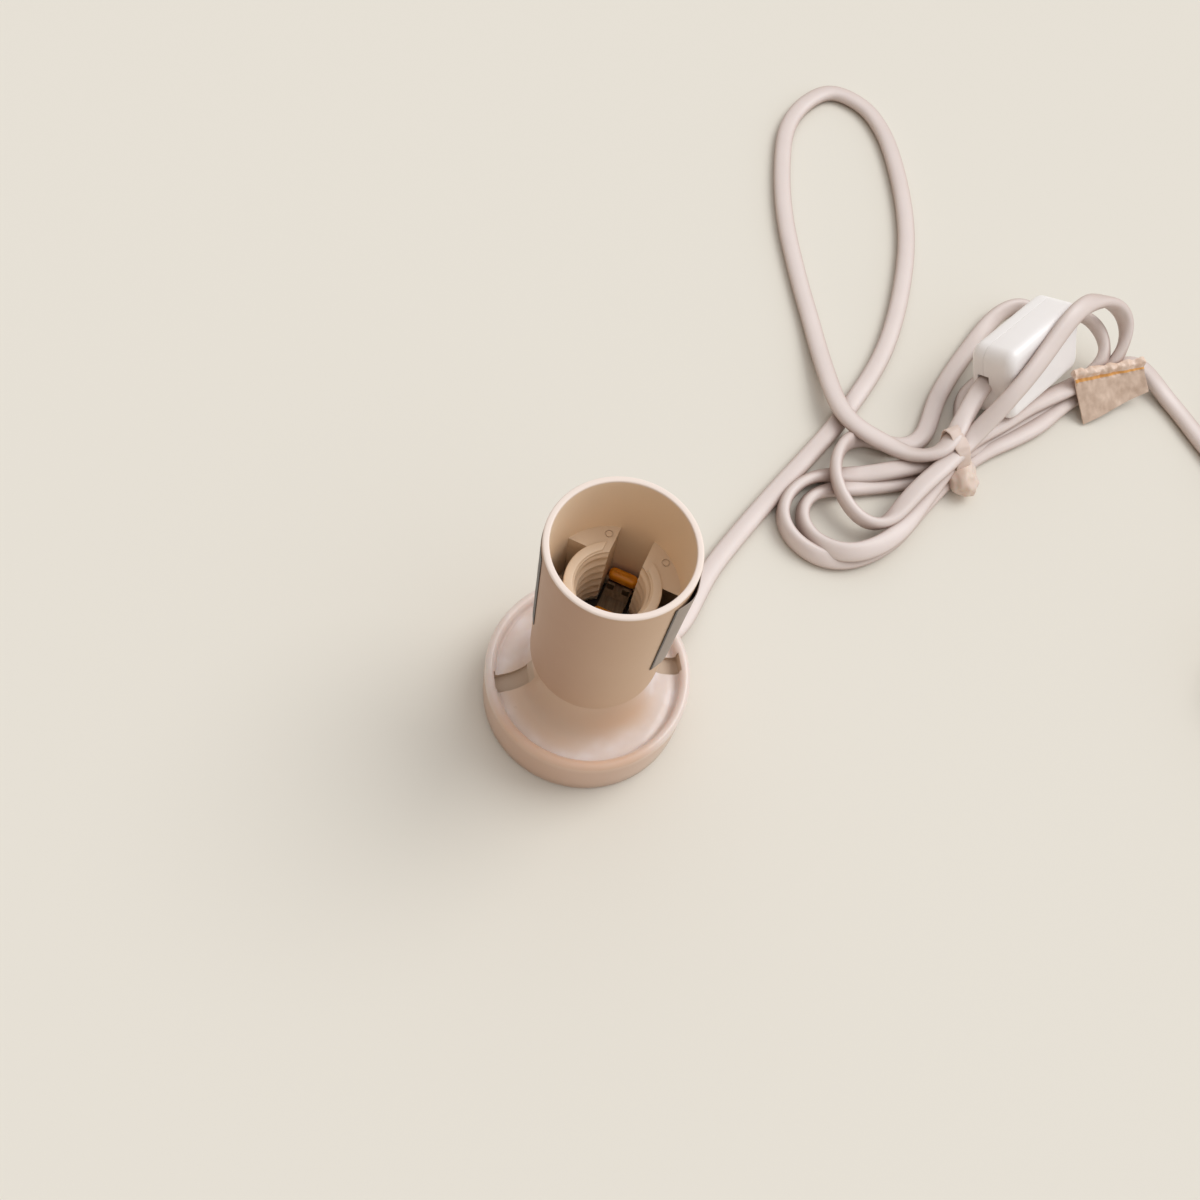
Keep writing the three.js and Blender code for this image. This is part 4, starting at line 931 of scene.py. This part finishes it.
SWITCH_WAY = radians(56.5)
SWITCH_ROLL = radians(29.0)
SWITCH_CORNER = Vector((70.7, 109.2, 18.8))
ALONG = Vector((cos(SWITCH_WAY), sin(SWITCH_WAY), 0.0))
ACROSS = Vector((ALONG.y, -ALONG.x, 0.0))
LEAN = ACROSS * cos(SWITCH_ROLL) + Vector((0, 0, sin(SWITCH_ROLL)))
DOWN = ACROSS * sin(SWITCH_ROLL) - Vector((0, 0, cos(SWITCH_ROLL)))
SWITCH_CENTRE = (SWITCH_CORNER + ALONG * (SWITCH_LENGTH / 2) + LEAN * (SWITCH_THICKNESS / 2)
                 + DOWN * (SWITCH_WIDTH / 2))
SWITCH_FRAME = (Matrix.Translation(SWITCH_CENTRE)
                @ Matrix((ALONG, DOWN, -LEAN)).transposed().to_4x4())


def add_switch():
    """Two rounded halves of the housing with a hairline seam; the rocker's side is turned down."""
    back, front = -SWITCH_THICKNESS / 2, SWITCH_THICKNESS / 2
    wall, play, seam, soft = 1.6, 0.15, 0.03, 0.12
    well, well_floor = 1.75, front - 1.9  # of the two screws
    outline = rectangle(SWITCH_LENGTH, SWITCH_WIDTH, 3.6, 10)
    hollow = rectangle(SWITCH_LENGTH - 2 * wall, SWITCH_WIDTH - 2 * wall, 2.0, 6)
    high, wide = CORD_THICKNESS / 2 + play, CORD_WIDTH / 2 + play
    way = block((-20, -wide, SWITCH_SPLIT - high), (20, wide, SWITCH_SPLIT + high))
    low_half = boolean(
        plate("switch_half_back", outline, back, SWITCH_SPLIT - seam, 2.6, soft, 8),
        plate("hollow", hollow, back + wall, SWITCH_SPLIT + 1), way, sharp=32)
    wells = [placed(cylinder(well, well_floor, front + 1, 40), Matrix.Translation((x, 6.5, 0)))
             for x in (-8.5, 8.5)]
    rocker_hole = plate("hole", rectangle(16.8, 8.8, 0.7, 5), 0, front + 1)
    high_half = boolean(
        plate("switch_half_front", outline, SWITCH_SPLIT + seam, front, soft, 2.2, 8),
        plate("hollow", hollow, SWITCH_SPLIT - 1, front - wall), way, rocker_hole, *wells, sharp=32)
    for side, mesh in (("back", low_half), ("front", high_half)):
        add_object(f"switch_half_{side}", placed(mesh, SWITCH_FRAME), switch_abs,
                   replaces=(f"switch_{side}_shell",))


# Tie round the hank: it follows the outside of the strands that it draws together

def crossings(centre_lines):
    """Section points of every strand where it passes through the tie, in the tie's plane."""
    found = []
    for line, rolls in centre_lines:
        for (a, ra), (b, rb) in zip(zip(line, rolls), zip(line[1:], rolls[1:])):
            da, db = (a - TIE_PLACE).dot(TIE_WAY), (b - TIE_PLACE).dot(TIE_WAY)
            if da * db > 0 or abs(db - da) < 1e-9:
                continue
            at = a + (b - a) * (da / (da - db))
            x = (at - TIE_PLACE).dot(TIE_SIDE)
            if not TIE_REACH[0] < x < TIE_REACH[1]:
                continue
            for u, v in flat_section(12):
                found.append(Vector((x + u * cos(ra) - v * sin(ra),
                                     at.z + u * sin(ra) + v * cos(ra))))
    return found


def hull(points):
    """Convex outline of the points, anticlockwise."""
    points = sorted(points, key=lambda p: (p.x, p.y))
    chains = []
    for order in (points, points[::-1]):
        chain = []
        for p in order:
            while len(chain) > 1 and (chain[-1] - chain[-2]).cross(p - chain[-2]) <= 0:
                chain.pop()
            chain.append(p)
        chains.append(chain[:-1])
    return chains[0] + chains[1]


def spaced(outline, count):
    """Points of a closed outline at equal distances."""
    lengths = [(outline[(i + 1) % len(outline)] - p).length for i, p in enumerate(outline)]
    total = sum(lengths)
    out = []
    for k in range(count):
        left = total * k / count
        i = 0
        while left > lengths[i]:
            left -= lengths[i]
            i += 1
        out.append(outline[i].lerp(outline[(i + 1) % len(outline)], left / lengths[i]))
    return out


def add_tie(centre_lines):
    """Band of film drawn round the strands, eased where it spans from one to the next."""
    count = 96
    loop = spaced(hull(crossings(centre_lines)), count)
    for _ in range(6):
        loop = [p * 0.5 + (loop[k - 1] + loop[(k + 1) % count]) * 0.25 for k, p in enumerate(loop)]
    middle = sum(loop, Vector((0.0, 0.0))) / count
    half, inner, outer = 1.9, 0.05, 0.45
    section = rounded([(-half, inner, 0.15), (half, inner, 0.15),
                       (half, outer, 0.18), (-half, outer, 0.18)], 3)
    points = []
    for k, p in enumerate(loop):
        out = (p - middle).normalized()
        for along, off in section:
            pinch = 1 + 0.05 * noise.noise(Vector((k * 0.35, along, 7.0)))
            q = middle + (p - middle) * pinch + out * off
            width = along * (1 + 0.12 * sin(k * 0.4))
            z = max(q.y, CORD_REST + off)
            points.append(TIE_PLACE + TIE_WAY * width + TIE_SIDE * q.x + Vector((0, 0, z)))
    mesh = mesh_from("tie_wrap", points, tube_faces(len(section), count, closed=True), 60)
    add_object("tie_wrap", mesh, tie_film, replaces=("hank_tie",))


def add_tie_knot(at):
    """Soft folded end of the tie, a lump of film pressed against the strands."""
    half = (5.9, 4.0, 3.2)
    bm = bmesh.new()
    bmesh.ops.create_icosphere(bm, subdivisions=4, radius=1.0)
    for v in bm.verts:
        p = v.co.copy()
        crumple = 0.17 * noise.noise(p * 2.6 + Vector((4, 1, 0)))
        fold = 0.12 * exp(-(p.x * 1.4 - p.y * 0.5) ** 2 * 12)
        x = copysign(abs(p.x) ** 0.8, p.x)
        v.co = Vector((x * half[0], p.y * half[1], p.z * half[2])) * (1 + crumple - fold)
    mesh = bpy.data.meshes.new("tie_knot")
    bm.to_mesh(mesh)
    bm.free()
    mesh.transform(Matrix.Scale(MM, 4))
    placed(turned(mesh, -62, "Z"), Matrix.Translation(at))
    add_object("tie_knot", shaded(mesh, 80), tie_film, replaces=("hank_tie",))


# Flag tag: a strip folded over the cord and pressed together, crinkled along its fold

def add_tag():
    """Two layers of film from the fold at start to far, hanging down to low at the near end."""
    start, far, low = (Vector(p) for p in (
        (102.3, 117.0, 8.6), (120.6, 127.6, 8.4), (109.2, 110.3, 0.6)))
    shorter = 0.56  # depth at the far end, as a share of that at the near end
    band = 0.26  # share of the rows that the fold takes
    fold_rise = 2.5  # from the strip's top edge to the top of the fold
    stripe = 0.06
    lowest = 0.35  # the film's least height above the table
    across, down = 84, 52
    side, drop = far - start, low - start
    x = side.normalized()
    z = side.cross(drop).normalized()
    y = z.cross(x)
    slant, height = drop.dot(x), drop.dot(y)
    points = []
    for layer in (1, -1):
        for j in range(down + 1):
            v = j / down
            below = max(0.0, (v - band) / (1 - band))
            above = max(0.0, 1 - v / band)
            swell = sin(pi * v / band) if v < band else 0.0
            for i in range(across + 1):
                u = i / across
                left = Vector((slant * below, height * below))
                right = Vector((side.length + slant * shorter * below, height * shorter * below))
                p = left.lerp(right, u)
                crease = (noise.noise(Vector((u * 9, v * 5, 2.0))) * 0.4
                          + noise.noise(Vector((u * 22, v * 9, 5.0))) * 0.3)
                lump = 0.5 + 0.5 * sin(u * 27 + 2.2 * noise.noise(Vector((u * 6, 0.0, 9.0))))
                off = (layer * (0.2 + (0.55 + 0.55 * lump) * swell)
                       + crease * (0.3 + 1.1 * (v < band + 0.1)))
                off += 0.45 * sin(u * pi * 2.2) * below
                rise = fold_rise * above * (0.85 + 0.2 * lump)
                point = start + x * p.x + y * (p.y - rise) - z * off
                point.z = max(point.z, lowest)
                points.append(point)
    mesh = mesh_from("tag_flag", points, sheet_faces(across, down), 70)
    add_object("tag_flag", mesh, tag_film, replaces=("flag_tag",))
    mesh.materials.append(tag_fold)
    mesh.materials.append(tag_stripe)
    for i, face in enumerate(mesh.polygons):
        row = i // across % down if i < 2 * across * down else 0
        if row < (band + stripe) * down:
            face.material_index = 1 if row < band * down else 2


# Plug at the end of the cord: x runs from where the cord enters to the pins

PLUG_THICKNESS = 13.7
PLUG_FRAME = (Matrix.Translation((168.0, 74.0, PLUG_THICKNESS / 2 + 0.1))
              @ Matrix.Rotation(radians(-90), 4, "Z"))


def plug_part(mesh, y):
    """A turned part laid along x, at a distance y from the plug's middle."""
    return placed(turned(mesh, 90, "Y"), Matrix.Translation((0, y, 0)))


def add_plug():
    """Flat plug: slim where the cord enters, wide at its face, with two sleeved pins."""
    length, neck, face = 34.0, 5.5, 17.5  # the last two are half widths
    pin_at, pin, rim = 9.5, 2.0, 2.6  # a pin's distance and radius, and the edges' rounding
    grip, wing = 4.4, 6.4  # half thickness and end of the slim grip behind the neck
    a, b, c, d = (Vector(p) for p in ((6, neck), (14, neck), (14, face - 2), (length - 8, face)))
    side = [Vector((0, neck))]
    for t in (k / 24 for k in range(24)):
        side.append(a * (1 - t) ** 3 + b * 3 * t * (1 - t) ** 2
                    + c * 3 * t * t * (1 - t) + d * t ** 3)
    side += rounded([(length - 6, face), (length, face, 3.2), (length, face - 6)], 8)[:-1]
    mirrored = [Vector((p.x, -p.y)) for p in side]
    body = plate("plug_moulding", mirrored + side[::-1], -PLUG_THICKNESS / 2, PLUG_THICKNESS / 2,
                 rim, rim, 8)
    tools = [block((-2, -neck - 1, z), (wing, neck + 1, z + 9 - grip)) for z in (grip, -9)]
    tools += [block((x, y - 0.8, -9), (x + 1, y + 0.8, 9))
              for x in (1.4, 4.0) for y in (neck, -neck)]
    tools += [plug_part(cylinder(pin, length - 1.2, length + 1, 40), y) for y in (-pin_at, pin_at)]
    body = boolean(body, *tools, sharp=34)
    add_object("plug_moulding", placed(body, PLUG_FRAME), plug_pvc, replaces=("plug_body",))
    tip, bare = length + 19, length + 10
    contact = rounded([(0, length - 8), (1.3, length - 8), (1.3, bare + 0.2),
                       (pin, bare + 0.2, 0.15), (pin, tip, 1.1), (0, tip)], 6)
    sleeve = rounded([(1.5, length - 0.9), (1.85, length - 0.9), (1.85, bare, 0.15),
                      (1.5, bare)], 4)
    for i, y in ((1, -pin_at), (2, pin_at)):
        for name, outline, material, node, slot in (
                (f"plug_contact_pin_{i}", contact, pin_nickel, f"plug_pin_{i}", "plug_pin"),
                (f"plug_pin_sleeve_{i}", sleeve, sleeve_polyamide, f"plug_sleeve_{i}",
                 "white_switch")):
            mesh = placed(plug_part(lathe(name, outline, 64), y), PLUG_FRAME)
            add_object(name, mesh, material, replaces=(node,))


# Pieces that stay as packed, with their finishes

FINISHES = (
    (cover_pp, ("base_cover",)),
    (clamp_abs, ("cord_clamp_bar",)),
    (carrier_phenolic, ("contact_carrier",)),
    (core_blue, ("core_side",)),
    (core_brown, ("core_centre",)),
    (switch_abs, ("switch_rocker",)),
    (zinc_steel, ("nipple", "nipple_washer", "nipple_lower_nut", "nipple_upper_nut",
                  "cord_clamp_screw_1", "cord_clamp_screw_2", "switch_screw_1", "switch_screw_2")),
    (contact_bronze, ("terminal_side", "terminal_centre", "side_contact", "centre_contact",
                      "switch_bridge_contact", "switch_terminal_1", "switch_terminal_2")),
)

for finish, names in FINISHES:
    for name in names:
        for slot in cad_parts[name].material_slots:
            slot.material = finish

add_cup()
add_shell()
add_label()
add_insert()
add_insulators()
add_switch()
add_tie([(centre, rolls) for _, centre, rolls in CORDS])
add_tie_knot((77.5, 82.2, 3.5))
add_tag()
add_plug()


# Camera, floor and light

CAMERA_AT = Vector((-1.56, -100.23, 248.44)) * MM
CAMERA_ELEVATION = 63.5
CAMERA_ROLL = 15.1
PALE = "#e7e2d6"
FRONT_LIGHT = (0.30, 0.23, 0.17, 1.0)
BACK_LIGHT = (0.86, 0.88, 0.92, 1.0)
LIGHT_FROM = (0.55, 0.45, 0.70)  # the sky is brightest there: behind, on the right
SUN_WAY = (-0.45, -0.38, -0.81)
SUN_STRENGTH = 1.15
SUN_WIDTH = radians(38)
SKY_STRENGTH = 1.03
FLOOR_REACH = 4000.0


def add_camera():
    """Camera at the photograph's place: looks along +Y and down, rolled about its own axis."""
    camera = bpy.data.cameras.new("camera")
    camera.sensor_width = 36.0
    camera.lens = 36.0
    camera.clip_start = 0.01
    obj = linked("camera", camera)
    obj.matrix_world = (Matrix.Translation(CAMERA_AT)
                        @ Matrix.Rotation(radians(90 - CAMERA_ELEVATION), 4, "X")
                        @ Matrix.Rotation(radians(CAMERA_ROLL), 4, "Z"))
    bpy.context.scene.camera = obj


def add_floor():
    """Plain pale floor that keeps the object's shadow."""
    s = FLOOR_REACH
    corners = [(-s, -s, 0), (s, -s, 0), (s, s, 0), (-s, s, 0)]
    mesh = mesh_from("floor", corners, [(0, 1, 2, 3)])
    mat, _, shader = new_material("pale_floor")
    shader.inputs["Base Color"].default_value = linear(PALE)
    shader.inputs["Roughness"].default_value = 1.0
    shader.inputs["Specular IOR Level"].default_value = 0.0
    mesh.materials.append(mat)
    linked("floor", mesh)


def add_light():
    """Soft light from behind on the right, warm and weaker light in front.

    The sky that is seen directly, or in a gloss, is plain and pale.
    """
    lamp = bpy.data.lights.new("window_light", "SUN")
    lamp.energy = SUN_STRENGTH
    lamp.angle = SUN_WIDTH
    sun = linked("window_light", lamp)
    sun.rotation_euler = Vector(SUN_WAY).to_track_quat("-Z", "Y").to_euler()
    world = bpy.data.worlds.new("studio")
    bpy.context.scene.world = world
    world.use_nodes = True
    tree = world.node_tree
    way = add_node(tree, "TexCoord").outputs["Generated"]
    towards = add_node(tree, "VectorMath", {0: way, 1: LIGHT_FROM},
                       operation="DOT_PRODUCT").outputs["Value"]
    share = ramp(tree, towards, -0.45, 0.95, shape="SMOOTHSTEP")
    sky = tree.nodes["Background"]
    tree.links.new(blend(tree, share, FRONT_LIGHT, BACK_LIGHT), sky.inputs["Color"])
    sky.inputs["Strength"].default_value = SKY_STRENGTH
    path = add_node(tree, "LightPath")
    seen = joined(tree, "MAXIMUM", *(path.outputs[f"Is {kind} Ray"]
                                     for kind in ("Camera", "Glossy", "Transmission")))
    backdrop = add_node(tree, "Background", {"Color": linear(PALE), "Strength": 1.0})
    mix = add_node(tree, "MixShader", {0: seen, 1: sky.outputs[0], 2: backdrop.outputs[0]})
    tree.links.new(mix.outputs[0], tree.nodes["World Output"].inputs["Surface"])


add_camera()
add_floor()
add_light()
bpy.context.scene.view_settings.view_transform = "Standard"
